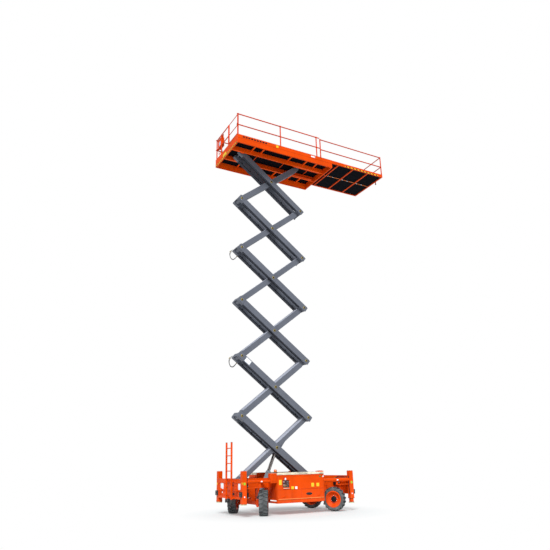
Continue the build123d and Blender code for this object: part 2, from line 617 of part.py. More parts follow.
RAIL_LEFT, RAIL_RIGHT = DECK_LEFT + 40, 1440.0
RAIL_OVERHANG = 170.0         # the side rails run on past their last post
END_POSTS = (GATE_POST_Y, 620.0)

with BuildPart() as platform_rails:
    for side in (NEAR, FAR):
        for z in (MID_RAIL, TOP_RAIL):
            rod((RAIL_LEFT, side * RAIL_Y, z), (RAIL_RIGHT + RAIL_OVERHANG, side * RAIL_Y, z), RAIL_R)
        for x in (RAIL_LEFT, -470.0, RAIL_RIGHT):
            rod((x, side * RAIL_Y, FLOOR_EDGE), (x, side * RAIL_Y, RAIL_TOP), POST_R)
    for z in (MID_RAIL, TOP_RAIL):
        rod((RAIL_LEFT, GATE_POST_Y, z), (RAIL_LEFT, RAIL_Y, z), END_RAIL_R)
    for y in END_POSTS:
        rod((RAIL_LEFT, y, FLOOR_EDGE), (RAIL_LEFT, y, RAIL_TOP), POST_R)
save(platform_rails.part, "platform_rails")

GATE_HINGE_Y = GATE_POST_Y - 2 * POST_R - 8
with BuildPart() as entry_gate:
    low, high = FLOOR_TOP + 170, TOP_RAIL
    for y in (GATE_HINGE_Y, GATE_LATCH_Y):
        rod((RAIL_LEFT, y, low), (RAIL_LEFT, y, high), 18)
    for z in (low + 10, MID_RAIL, high - 2):
        rod((RAIL_LEFT, GATE_HINGE_Y, z), (RAIL_LEFT, GATE_LATCH_Y, z), 15)
save(entry_gate.part, "entry_gate")

with BuildPart() as control_box:
    x = RAIL_LEFT + POST_R
    bar(x, x + 12, 480, 1120, FLOOR_TOP + 560, FLOOR_TOP + 1110)
    bar(x + 12, x + 130, 680, 1090, FLOOR_TOP + 620, FLOOR_TOP + 1060)
    for y in (760, 1050):
        rod((x + 30, y, FLOOR_TOP + 630), (x + 30, y, FLOOR_TOP + 330), 12)
    rod((x + 30, 760, FLOOR_TOP + 330), (x + 30, 1050, FLOOR_TOP + 330), 12)
save(control_box.part, "control_box")

EXT_MEMBERS = (1640.0, 2160.0, 2700.0, 3560.0, 4420.0)

with BuildPart() as extension_deck:
    bar(EXT_LEFT, EXT_RIGHT, -EXT_HALF_WIDTH, EXT_HALF_WIDTH, EXT_FLOOR - 8, EXT_FLOOR)
    for side in (NEAR, FAR):
        edge = side * EXT_HALF_WIDTH
        bar(EXT_LEFT, EXT_RIGHT, edge, edge - side * 44, EXT_BOTTOM, EXT_TOP)
    for x in EXT_MEMBERS:
        bar(x - 25, x + 25, 44 - EXT_HALF_WIDTH, EXT_HALF_WIDTH - 44, EXT_BOTTOM, EXT_FLOOR - 8)
    bar(EXT_RIGHT - 44, EXT_RIGHT, -EXT_HALF_WIDTH, EXT_HALF_WIDTH, EXT_BOTTOM, EXT_TOP)
save(extension_deck.part, "extension_deck")

EXT_POSTS = (1705.0, EXT_RIGHT - POST_R)

with BuildPart() as extension_rails:
    left, right = EXT_POSTS
    for side in (NEAR, FAR):
        for z in (MID_RAIL, TOP_RAIL):
            rod((left, side * EXT_RAIL_Y, z), (right, side * EXT_RAIL_Y, z), RAIL_R)
        for x in EXT_POSTS:
            rod((x, side * EXT_RAIL_Y, EXT_TOP), (x, side * EXT_RAIL_Y, RAIL_TOP), POST_R)
    for z in (MID_RAIL, TOP_RAIL):
        rod((right, -EXT_RAIL_Y, z), (right, EXT_RAIL_Y, z), END_RAIL_R)
save(extension_rails.part, "extension_rails")
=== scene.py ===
"""Looks of the rough-terrain scissor lift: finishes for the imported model, and the pieces too fine for it.

Metres, +Z up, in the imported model's frame. Places on the machine are given from a datum on the ground
under the middle of the chassis: x towards the rear, y towards the far side.
"""

import json
from math import cos, pi, radians, sin, tau

import bmesh
import bpy
from mathutils import Matrix, Vector


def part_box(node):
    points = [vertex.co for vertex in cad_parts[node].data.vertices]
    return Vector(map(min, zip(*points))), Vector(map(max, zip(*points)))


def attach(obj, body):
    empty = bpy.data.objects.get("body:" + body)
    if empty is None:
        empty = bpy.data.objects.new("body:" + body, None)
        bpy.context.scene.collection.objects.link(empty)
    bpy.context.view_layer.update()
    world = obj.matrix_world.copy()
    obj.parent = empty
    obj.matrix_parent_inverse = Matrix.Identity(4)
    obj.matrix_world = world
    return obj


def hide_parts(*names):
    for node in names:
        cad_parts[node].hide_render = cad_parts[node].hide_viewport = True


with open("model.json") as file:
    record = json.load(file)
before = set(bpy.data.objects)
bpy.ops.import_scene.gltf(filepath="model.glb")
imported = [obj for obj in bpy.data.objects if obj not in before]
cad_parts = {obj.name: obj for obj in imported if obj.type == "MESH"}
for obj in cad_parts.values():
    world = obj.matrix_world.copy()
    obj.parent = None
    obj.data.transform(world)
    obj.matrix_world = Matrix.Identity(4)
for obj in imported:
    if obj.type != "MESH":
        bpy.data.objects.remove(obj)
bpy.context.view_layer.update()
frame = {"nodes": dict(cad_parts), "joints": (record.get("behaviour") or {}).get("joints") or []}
JOINTS = {joint["name"]: joint for joint in frame["joints"]}

NEAR, FAR = -1, 1
SIDES = ((NEAR, "near"), (FAR, "far"))
ENDS = ((-1, "front"), (1, "rear"))
CORNERS = [(end, side, f"{tag}_{where}") for end, tag in ENDS for side, where in SIDES]
UP = (0, 0, 1)
LEVELS = 6

posts_low, posts_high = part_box("outrigger_posts")
DATUM = Vector(((posts_low.x + posts_high.x) / 2, (posts_low.y + posts_high.y) / 2, 0))
CHASSIS = Matrix.Translation(DATUM)


# ---- materials ----
def srgb(colour, share=1.0):
    """A screen colour, 0 to 255, as a shader's linear colour, made darker or lighter by a share."""
    levels = [level / 255 for level in colour]
    linear = [level / 12.92 if level <= 0.04045 else ((level + 0.055) / 1.055) ** 2.4 for level in levels]
    return tuple(min(level * share, 1) for level in linear) + (1,)


class Nodes:
    """A node tree, with short names for the few kinds in use."""

    def __init__(self, tree):
        self.tree = tree

    def fill(self, made, values):
        """Sets a node's inputs, or links those whose value is another node's output."""
        for key, value in values.items():
            if isinstance(value, bpy.types.NodeSocket):
                self.tree.links.new(value, made.inputs[key])
            elif value is not None:
                made.inputs[key].default_value = value

    def node(self, kind, values={}, **settings):
        """Adds a node and gives its outputs."""
        made = self.tree.nodes.new("ShaderNode" + kind)
        for name, value in settings.items():
            setattr(made, name, value)
        self.fill(made, values)
        return made.outputs

    def math(self, operation, first, second=0.0):
        return self.node("Math", {0: first, 1: second}, operation=operation)["Value"]

    def times(self, first, second):
        return self.math("MULTIPLY", first, second)

    def blend(self, output, share, first, second):
        """Mixes two shaders into an output node."""
        mixed = self.node("MixShader", {0: share, 1: first, 2: second})
        self.fill(self.tree.nodes[output], {"Surface": mixed["Shader"]})


class Finish(Nodes):
    """One material on the Principled shader."""

    def __init__(self, name, roughness=0.5, metallic=0.0, coat=0.0, specular=0.5, transmission=0.0):
        self.material = bpy.data.materials.new(name)
        self.material.use_nodes = True
        super().__init__(self.material.node_tree)
        self.shader = self.tree.nodes["Principled BSDF"]
        self.fill(self.shader, {"Roughness": roughness, "Metallic": metallic, "Coat Weight": coat,
                                "Specular IOR Level": specular, "Transmission Weight": transmission})
        self.place = self.node("TexCoord")["Object"]

    def noise(self, scale, detail=3.0, stretch=(1, 1, 1)):
        spot = self.node("Mapping", {"Vector": self.place, "Scale": stretch})["Vector"]
        values = {"Vector": spot, "Scale": scale, "Detail": detail, "Roughness": 0.6}
        return self.node("TexNoise", values)["Fac"]

    def span(self, value, low, high, out_low=0.0, out_high=1.0):
        """Maps a value's range onto another, held at its ends."""
        ends = {"From Min": low, "From Max": high, "To Min": out_low, "To Max": out_high}
        return self.node("MapRange", {"Value": value, **ends})["Result"]

    def cloud(self, scale, detail, low, high, stretch=(1, 1, 1)):
        """Noise, mapped so that it goes from 0 to 1 between two of its levels."""
        return self.span(self.noise(scale, detail, stretch), low, high)

    def uneven(self, scale, detail, low, high):
        """A measure such as roughness that wanders between two values."""
        return self.span(self.noise(scale, detail), 0.3, 0.7, low, high)

    def mix(self, factor, first, second):
        """Mixes two colours: outputs, linear colours, or screen colours of three numbers."""
        first, second = (srgb(c) if isinstance(c, tuple) and len(c) == 3 else c for c in (first, second))
        return self.node("Mix", {"Factor": factor, "A": first, "B": second}, data_type="RGBA")["Result"]

    def axis(self, name, vector=None):
        return self.node("SeparateXYZ", {"Vector": vector or self.place})[name]

    def facing_up(self):
        """1 on faces that look up, 0 on faces that look sideways or down."""
        return self.span(self.axis("Z", self.node("NewGeometry")["Normal"]), 0.3, 0.9)

    def edges(self, radius):
        """The normal softened over edges, and a mask that is 1 on the edges."""
        soft = self.node("Bevel", {"Radius": radius}, samples=4)["Normal"]
        dot = self.node("VectorMath", {0: soft, 1: self.node("NewGeometry")["Normal"]}, operation="DOT_PRODUCT")
        return soft, self.span(dot["Value"], 0.97, 0.75)

    def bump(self, height, strength, distance, normal=None):
        values = {"Strength": strength, "Distance": distance, "Height": height, "Normal": normal}
        return self.node("Bump", values)["Normal"]

    def finish(self, colour, roughness=None, normal=None):
        self.fill(self.shader, {"Base Color": colour, "Roughness": roughness, "Normal": normal})
        return self.material


def paint(name, colour, tone=0.1, gloss=0.38, wear=0.5, worn=(0.2, 0.19, 0.18, 1), dust=0.0, specular=0.09):
    """Sprayed paint: uneven tone, orange peel, chipped edges, and dust that settles low down and on top."""
    made = Finish(name, specular=specular)
    base = made.mix(made.cloud(1.1, 4, 0.35, 0.65), srgb(colour, 1 - tone), srgb(colour, 1 + tone))
    streaks = made.cloud(5, 5, 0.52, 0.75, stretch=(1, 1, 0.12))
    base = made.mix(made.times(streaks, 0.22), base, srgb(colour, 0.55))
    normal, edge_mask = made.edges(0.006)
    chipped = made.times(made.times(edge_mask, made.cloud(38, 5, 0.5, 0.62)), wear)
    base = made.mix(chipped, base, worn)
    if dust:
        low = made.span(made.axis("Z"), 1.1, 0.1)
        settled = made.times(made.math("ADD", low, made.facing_up()), made.cloud(7, 6, 0.35, 0.7))
        base = made.mix(made.times(settled, dust), base, (176, 156, 132))
    rough = made.uneven(9, 4, gloss - 0.07, gloss + 0.13)
    return made.finish(base, rough, made.bump(made.noise(420, 2), 0.1, 0.0006, normal))


def metal(name, colour, roughness=0.3, metallic=1.0, grime=0.3, scale=30, edge=0.003):
    """Bare or plated metal with brushed grain and grime."""
    made = Finish(name, metallic=metallic)
    stain = made.times(made.cloud(scale, 5, 0.45, 0.72), grime)
    rough = made.uneven(scale * 2, 4, roughness - 0.08, roughness + 0.18)
    grain = made.bump(made.noise(scale * 9, 2, stretch=(1, 1, 6)), 0.12, 0.0008, made.edges(edge)[0])
    return made.finish(made.mix(stain, colour, srgb(colour, 0.35)), rough, grain)


def moulded(name, colour, roughness=0.6, grain=500, dust=0.25, specular=0.4):
    """Rubber or plastic with a fine grain and a film of dust."""
    made = Finish(name, specular=specular)
    base = made.mix(made.times(made.cloud(6, 6, 0.4, 0.75), dust), colour, (140, 136, 130))
    rough = made.uneven(12, 4, roughness - 0.1, roughness + 0.15)
    return made.finish(base, rough, made.bump(made.noise(grain), 0.25, 0.0008))


def tread_rubber():
    """Tyre rubber: dark, with grey dust on the lugs and painted shade in the grooves."""
    made = Finish("tyre_rubber", specular=0.35)
    base = made.mix(made.cloud(5, 6, 0.3, 0.75), (58, 60, 62), (112, 116, 117))
    # darker where the surface curves in: painted shade in the grooves
    groove_shade = made.span(made.node("NewGeometry")["Pointiness"], 0.5, 0.44)
    base = made.mix(made.times(groove_shade, 0.6), base, (38, 38, 40))
    return made.finish(base, made.uneven(16, 5, 0.7, 0.92), made.bump(made.noise(160, 4), 0.35, 0.0015))


def hazard(name, axis="X", pitch=0.2):
    """Yellow and black slanted bands."""
    made = Finish(name)
    lean = made.math("ADD", made.axis(axis), made.axis("Z"))
    band = made.math("FRACT", made.math("DIVIDE", lean, pitch))
    base = made.mix(made.math("GREATER_THAN", band, 0.5), (238, 200, 20), (24, 24, 24))
    scuff = made.times(made.cloud(25, 6, 0.52, 0.7), 0.5)
    return made.finish(made.mix(scuff, base, (150, 120, 90)), made.uneven(14, 3, 0.4, 0.65))


def label(name, colour):
    """A blank printed foil: faint blotches and rubbed patches."""
    made = Finish(name)
    base = made.mix(made.times(made.cloud(45, 6, 0.5, 0.7), 0.35), colour, srgb(colour, 0.72))
    return made.finish(base, made.uneven(30, 3, 0.3, 0.6), made.bump(made.noise(90, 2), 0.1, 0.0005))


def dirty_lid():
    """Cream paint under dried dirt that runs along the lid."""
    made = Finish("cream_lid", coat=0.1)
    base = made.mix(made.cloud(1.5, 4, 0.3, 0.7), (226, 214, 184), (238, 230, 208))
    dirt = made.cloud(9, 7, 0.44, 0.6, stretch=(0.35, 1, 2.2))
    base = made.mix(made.times(dirt, 0.75), base, (128, 120, 104))
    relief = made.bump(made.noise(180), 0.2, 0.001, made.edges(0.006)[0])
    return made.finish(base, made.uneven(10, 3, 0.45, 0.75), relief)


def clear_lens(name, colour):
    """Tinted ribbed plastic that lets some light through."""
    made = Finish(name, roughness=0.18, transmission=0.35)
    ribs = made.math("SINE", made.times(made.axis("Z"), 700))
    tint = made.mix(made.noise(20), colour, srgb(colour, 0.8))
    return made.finish(tint, None, made.bump(ribs, 0.3, 0.001))


ORANGE = (219, 71, 1)
M = {
    "orange": paint("orange_paint", ORANGE),
    "chassis": paint("chassis_orange", ORANGE, dust=0.1, wear=0.7),
    "rail": paint("rail_orange", (206, 58, 0)),
    "lip": paint("lit_edge_orange", (250, 138, 74)),
    # a lighter orange than the paint, for the light the beams under the deck catch: painted light
    "lit_beam": paint("deck_beam_painted_light", (255, 88, 6)),
    "shade": paint("shaded_orange", (196, 58, 3), dust=0.12),
    "grey": paint("arm_grey", (97, 101, 111), tone=0.05, gloss=0.42, wear=0.18, worn=(96, 92, 88),
                  specular=0.3),
    # a lighter grey for the lit top faces of the inner arms: painted highlight
    "arm_highlight": paint("arm_top_painted_light", (160, 164, 177), tone=0.04, gloss=0.45, wear=0.1),
    # a darker grey for the shaded undersides of the outer arms: painted shade
    "arm_shade": paint("arm_underside_painted_shade", (64, 67, 76), tone=0.05, gloss=0.5, wear=0.1),
    "barrel": paint("cylinder_grey", (120, 128, 136), tone=0.06, gloss=0.34),
    "black": paint("black_paint", (26, 27, 30), tone=0.15, gloss=0.42, worn=(110, 104, 98)),
    "pipe": paint("pipe_brown", (120, 44, 26), gloss=0.3),
    "cream": dirty_lid(),
    "tyre": tread_rubber(),
    # near-black that stands in for the shade under the platform floors: painted shade
    "underside_shade": moulded("deck_underside_painted_shade", (11, 13, 20), roughness=0.8, grain=120, dust=0.0, specular=0.06),
    "rubber": moulded("black_rubber", (28, 28, 30), roughness=0.65),
    "plastic": moulded("black_plastic", (24, 24, 26), roughness=0.5, grain=350, dust=0.12),
    "hose": moulded("hose_rubber", (26, 26, 28), roughness=0.5, grain=260, dust=0.08, specular=0.2),
    "cabinet": moulded("cabinet_brown", (66, 34, 28), roughness=0.5, grain=200),
    "pad": moulded("foot_pad", (186, 190, 150), roughness=0.5, grain=120, dust=0.3),
    "rod": metal("cylinder_rod", (112, 108, 106), roughness=0.34, grime=0.15, scale=5, edge=0.002),
    "steel": metal("worn_steel", (176, 178, 182), roughness=0.34),
    "zinc": metal("yellow_zinc", (222, 196, 104), roughness=0.42, metallic=0.7, scale=45),
    "olive": metal("pin_plating", (178, 158, 82), roughness=0.5, metallic=0.5, scale=45),
    "engine": metal("cast_metal", (70, 70, 72), roughness=0.6, metallic=0.6),
    "tread_plate": metal("tread_plate", (150, 152, 156), roughness=0.42, grime=0.4, scale=9),
    "white": label("white_label", (236, 240, 246)),
    "yellow": label("yellow_label", (232, 192, 28)),
    "lime": label("lime_reflector", (160, 190, 30)),
    "green": label("green_label", (60, 110, 40)),
    "red": label("red_mark", (196, 30, 24)),
    # pinkish marks that stand in for glints on the window panel: painted highlights
    "glint": label("window_painted_glint", (168, 128, 132)),
    "sky": label("pale_blue_label", (186, 208, 232)),
    "amber": clear_lens("amber_lens", (244, 120, 16)),
    "hazard": hazard("hazard_bands"),
    "hazard_end": hazard("hazard_bands_end", axis="Y", pitch=0.16),
}


# ---- mesh building ----
def show(name, mesh, finish):
    """Puts a bmesh in the scene as an object with one material, and frees it."""
    data = bpy.data.meshes.new(name)
    mesh.to_mesh(data)
    mesh.free()
    data.materials.append(finish)
    made = bpy.data.objects.new(name, data)
    bpy.context.scene.collection.objects.link(made)
    return made


def bands(rings, segments):
    """The faces between rings of vertices, where a ring of one vertex is a point."""
    faces = []
    for low, high in zip(rings, rings[1:]):
        for step in range(segments):
            corners = (low, step), (low, step + 1), (high, step + 1), (high, step)
            quad = list(dict.fromkeys(ring[i % len(ring)] for ring, i in corners))
            if len(quad) > 2:
                faces.append(quad)
    return faces


def around(segments):
    """Cosine and sine of each step of a turn."""
    return [(cos(tau * step / segments), sin(tau * step / segments)) for step in range(segments)]


class Shape:
    """A mesh put together from simple solids, each placed by one matrix. Every step returns the shape."""

    def __init__(self, place=CHASSIS):
        self.mesh = bmesh.new()
        self.place = place

    def add(self, verts, faces):
        made = [self.mesh.verts.new(self.place @ Vector(v)) for v in verts]
        for face in faces:
            self.mesh.faces.new([made[i] for i in face])
        return self

    def take(self, part, local):
        """Copies another bmesh in, and frees it."""
        part.transform(self.place @ local)
        scratch = bpy.data.meshes.new("scratch")
        part.to_mesh(scratch)
        part.free()
        self.mesh.from_mesh(scratch)
        bpy.data.meshes.remove(scratch)
        return self

    def block(self, low, high, bevel=0.0):
        """A block between two corners, its edges cut by bevel."""
        centre = [(a + b) / 2 for a, b in zip(low, high)]
        half = [abs(b - a) / 2 for a, b in zip(low, high)]
        bevel = min(bevel, *[h * 0.45 for h in half])
        part = bmesh.new()
        bmesh.ops.create_cube(part, size=2)
        for vert in part.verts:
            vert.co = Vector([vert.co[i] * half[i] for i in range(3)])
        if bevel:
            bmesh.ops.bevel(part, geom=part.edges[:], offset=bevel, segments=2, profile=0.6, affect="EDGES")
        return self.take(part, Matrix.Translation(centre))

    def turned(self, start, along, outline, segments=24, capped=True):
        """An outline of (distance along, radius) turned about the line that leaves start in a direction."""
        turn = Vector(along).normalized().to_track_quat("Z", "Y").to_matrix().to_4x4()
        turn.translation = Vector(start)
        rings, verts = [], []
        for distance, radius in outline:
            ring = around(segments)[:segments if radius > 0 else 1]
            rings.append(list(range(len(verts), len(verts) + len(ring))))
            verts += [turn @ Vector((radius * x, radius * y, distance)) for x, y in ring]
        faces = bands(rings, segments)
        if capped:
            faces += [ring for ring in (rings[0][::-1], rings[-1]) if len(ring) > 2]
        return self.add(verts, faces)

    def sleeve(self, start, along, inner, outer, length, segments=24):
        """A ring with a square section, open where it sits on its bar."""
        outline = [(0, inner), (0, outer), (length, outer), (length, inner)]
        return self.turned(start, along, outline, segments, capped=False)

    def rod(self, start, run, radius, bevel=0.002, segments=20):
        """A round bar with softened ends, from its start along its run."""
        length = Vector(run).length
        bevel = min(bevel, radius * 0.4, length * 0.4)
        outline = [(0, radius - bevel), (bevel, radius), (length - bevel, radius), (length, radius - bevel)]
        return self.turned(start, run, outline, segments)

    def hexagon(self, start, run, radius):
        """A bolt head or nut, from its start along its run."""
        length = Vector(run).length
        cut = min(radius * 0.12, length * 0.3)
        return self.turned(start, run, [(0, radius), (length - cut, radius), (length, radius - cut)], 6)

    def prism(self, outline, low, high, plane, bevel):
        """A flat outline of (u, v) made thick from low to high along the plane's third axis."""
        part = bmesh.new()
        lower, upper = [[part.verts.new((u, v, depth)) for u, v in outline] for depth in (low, high)]
        part.faces.new(lower[::-1])
        part.faces.new(upper)
        for a, b, c, d in zip(lower, lower[1:] + lower[:1], upper[1:] + upper[:1], upper):
            part.faces.new((a, b, c, d))
        bmesh.ops.recalc_face_normals(part, faces=part.faces[:])
        bmesh.ops.bevel(part, geom=part.edges[:], offset=bevel, segments=1, affect="EDGES", clamp_overlap=True)
        return self.take(part, plane)

    def tube(self, points, radius, segments=10):
        """A round tube along a line of points."""
        points = [Vector(p) for p in points]
        tangents = [(after - before).normalized()
                    for before, after in zip(points[:1] + points[:-1], points[1:] + points[-1:])]
        side = tangents[0].orthogonal().normalized()
        rings, verts = [], []
        for point, tangent in zip(points, tangents):
            side = (side - tangent * side.dot(tangent)).normalized()
            up = tangent.cross(side)
            rings.append(list(range(len(verts), len(verts) + segments)))
            verts += [point + side * x * radius + up * y * radius for x, y in around(segments)]
        return self.add(verts, bands(rings, segments) + [rings[0][::-1], rings[-1]])

    def piece(self, name, finish, body="chassis", smooth=35):
        """Ends the mesh: clean normals, smooth where it is round, one finish, riding on a body."""
        bmesh.ops.remove_doubles(self.mesh, verts=self.mesh.verts[:], dist=1e-6)
        bmesh.ops.recalc_face_normals(self.mesh, faces=self.mesh.faces[:])
        for face in self.mesh.faces:
            face.smooth = True
        for edge in self.mesh.edges:
            edge.smooth = edge.calc_face_angle(pi) < radians(smooth)
        made = show(name, self.mesh, M[finish])
        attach(made, body)
        return made


def slabs(name, finish, boxes, bevel=0.0012, body="chassis", place=CHASSIS):
    """Blocks given by their two corners, as one piece."""
    shape = Shape(place)
    for low, high in boxes:
        shape.block(low, high, bevel)
    shape.piece(name, finish, body)


def both(*boxes):
    """Blocks given for the far side, on the near side too."""
    return [[(x, side * y, z) for x, y, z in box] for side in (NEAR, FAR) for box in boxes]


def on_face(axis, face, out, *marks, thickness=0.003):
    """Thin blocks on a flat face square to an axis. A mark is its middle and its size on the other two."""
    boxes = []
    for u, v, wide, high in marks:
        box = [u - wide / 2, v - high / 2], [u + wide / 2, v + high / 2]
        for corner, depth in zip(box, sorted((face, face + out * thickness))):
            corner.insert(axis, depth)
        boxes.append(box)
    return boxes


def curve(points, steps=6):
    """A smooth line through points."""
    points = [Vector(p) for p in points]
    ends = [points[0] * 2 - points[1]] + points + [points[-1] * 2 - points[-2]]
    line = []
    for a, b, c, d in zip(ends, ends[1:], ends[2:], ends[3:]):
        for t in [step / steps for step in range(steps)]:
            line.append(0.5 * (2 * b + (c - a) * t + (2 * a - 5 * b + 4 * c - d) * t * t
                               + (3 * b - a - 3 * c + d) * t ** 3))
    return line + [points[-1]]


def between(low, high, members):
    """The gaps along x that members 50 mm wide leave between low and high."""
    cuts = [low] + [cut for x in members for cut in (x - 0.025, x + 0.025)] + [high]
    return list(zip(cuts[::2], cuts[1::2]))


# ---- camera, light and floor ----
def camera():
    """The photograph's viewpoint: near the ground, off the front near corner."""
    stand = Vector((-10.869, -19.2, 1.695))
    heading, rise, roll = radians(28.932), radians(19.272), radians(1.24)
    data = bpy.data.cameras.new("camera")
    data.sensor_width = 36
    data.lens = 35.453
    data.clip_end = 500
    made = bpy.data.objects.new("camera", data)
    bpy.context.scene.collection.objects.link(made)
    forward = Vector((sin(heading) * cos(rise), cos(heading) * cos(rise), sin(rise)))
    level = Vector((cos(heading), -sin(heading), 0))
    upright = level.cross(forward)
    right = level * cos(roll) - upright * sin(roll)
    up = level * sin(roll) + upright * cos(roll)
    turn = Matrix((right, up, -forward)).transposed()
    made.matrix_world = Matrix.Translation(DATUM + stand) @ turn.to_4x4()
    bpy.context.scene.camera = made


def studio():
    """A white room, a soft sun from the front left, and a floor that keeps a faint shadow."""
    world = bpy.data.worlds.new("studio")
    bpy.context.scene.world = world
    world.use_nodes = True
    room = Nodes(world.node_tree)
    lit = room.node("Background", {"Color": (0.93, 0.96, 1.0, 1), "Strength": 0.5})
    plain = room.node("Background", {"Color": (1, 1, 1, 1)})
    rays = room.node("LightPath")
    seen = room.math("MAXIMUM", rays["Is Camera Ray"], rays["Is Transmission Ray"])
    room.blend("World Output", seen, lit["Background"], plain["Background"])

    sun = bpy.data.lights.new("sun", "SUN")
    sun.energy = 3.5
    sun.angle = radians(25)
    shining = Vector((0.5, 0.68, -0.78))
    lamp = bpy.data.objects.new("sun", sun)
    bpy.context.scene.collection.objects.link(lamp)
    lamp.rotation_euler = shining.to_track_quat("-Z", "Y").to_euler()

    # the camera, mirrors and glass see the floor turn to plain white away from the machine
    ground = Finish("floor", roughness=0.9)
    away = ground.node("VectorMath", {0: ground.place, 1: DATUM}, operation="DISTANCE")["Value"]
    close = ground.mix(ground.noise(0.8), (0.71, 0.76, 0.76, 1), (0.74, 0.79, 0.79, 1))
    ground.finish(ground.mix(ground.span(away, 4.5, 10.0), close, (0.72, 0.72, 0.72, 1)))
    rays = ground.node("LightPath")
    seen = ground.math("MAXIMUM", rays["Is Glossy Ray"], rays["Is Transmission Ray"])
    seen = ground.math("MAXIMUM", rays["Is Camera Ray"], seen)
    white = ground.times(seen, ground.span(away, 2.3, 4.0, 0.22, 0.997))
    ground.blend("Material Output", white, ground.shader.outputs["BSDF"], ground.node("Emission")["Emission"])
    size = 400
    floor = Shape(Matrix.Identity(4))
    floor.add([(-size, -size, 0), (size, -size, 0), (size, size, 0), (-size, size, 0)], [(0, 1, 2, 3)])
    made = show("floor", floor.mesh, ground.material)


camera()
studio()

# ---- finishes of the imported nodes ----
FINISHES = {
    "grey": ("inner_arm", "outer_arm"),
    "hose": ("arm_hoses",),
    "barrel": ("lift_barrels",),
    "rod": ("lift_rods",),
    "tyre": ("tyre",),
    "shade": ("axles",),
    "engine": ("engine_block",),
    "chassis": ("rim", "knuckle", "outrigger", "chassis_frame", "side_housings", "housing_door", "end_frames"),
    "orange": ("ladder", "control_box", "extension_deck", "platform_deck"),
    "rail": ("entry_gate", "extension_rails", "platform_rails"),
}
for node, body in frame["nodes"].items():
    finish = next(finish for finish, starts in FINISHES.items() if node.startswith(starts))
    body.data.materials.clear()
    body.data.materials.append(M[finish])

# ---- places on the machine ----
PITCH, SLOPE = 3.7, radians(37.86)          # an arm between its end pins
HALF = PITCH / 2
RISE = PITCH * sin(SLOPE)
PIVOT_X, PIVOT_Z = -1.965, 1.165
TOP_Z = PIVOT_Z + LEVELS * RISE
DECK_LOW, UNDERSIDE, FLOOR = TOP_Z - 0.165, TOP_Z + 0.115, TOP_Z + 0.135
TOE_TOP, FOLD = FLOOR + 0.09, TOP_Z + 0.045
MID_RAIL, TOP_RAIL = FLOOR + 0.59, FLOOR + 1.124
DECK_LEFT, DECK_RIGHT, DECK_Y = -2.59, 2.24, 1.2
EXT_LEFT, EXT_RIGHT, EXT_Y = 1.6, 5.3, 1.11
EXT_LOW = FLOOR + 0.008
SIDE_Y, END_X, RECESS_X, PANEL_X = 1.14, 2.3425, 2.3, 2.325
FRONT, REAR = -0.98, 1.0                    # the two ends of the side housings
POST_X, POST_Y, TUBE_Y = 2.26, 1.0575, 1.06


def arm_place(kind, level):
    """The frame of an arm: x along it, y across the machine, origin at its middle pin."""
    lean = -1 if kind == "outer" else 1
    along = Vector((cos(SLOPE), 0, lean * sin(SLOPE)))
    across = Vector((0, 1, 0))
    turn = Matrix((along, across, along.cross(across))).transposed().to_4x4()
    pin = Vector((PIVOT_X + HALF * cos(SLOPE), 0, PIVOT_Z + RISE * (level - 0.5)))
    return Matrix.Translation(DATUM + pin) @ turn


# ---- arms: pin ends, keeper plates, doubler plates, cable strip ----
OUTER_Y, GAP_Y, INNER_Y = 0.3, 0.15, 0.14
EDGE_BANDS = (0.036, 0.03, 0.018, 0.012, 0.008, 0.006)    # height of the painted highlight along the upper edge of each inner arm
STIFFENERS = (-HALF + 0.42, -0.55, 0.55, HALF - 0.42)
COLLAR = [(0, 0.075), (0.004, 0.075), (0.006, 0.072)]

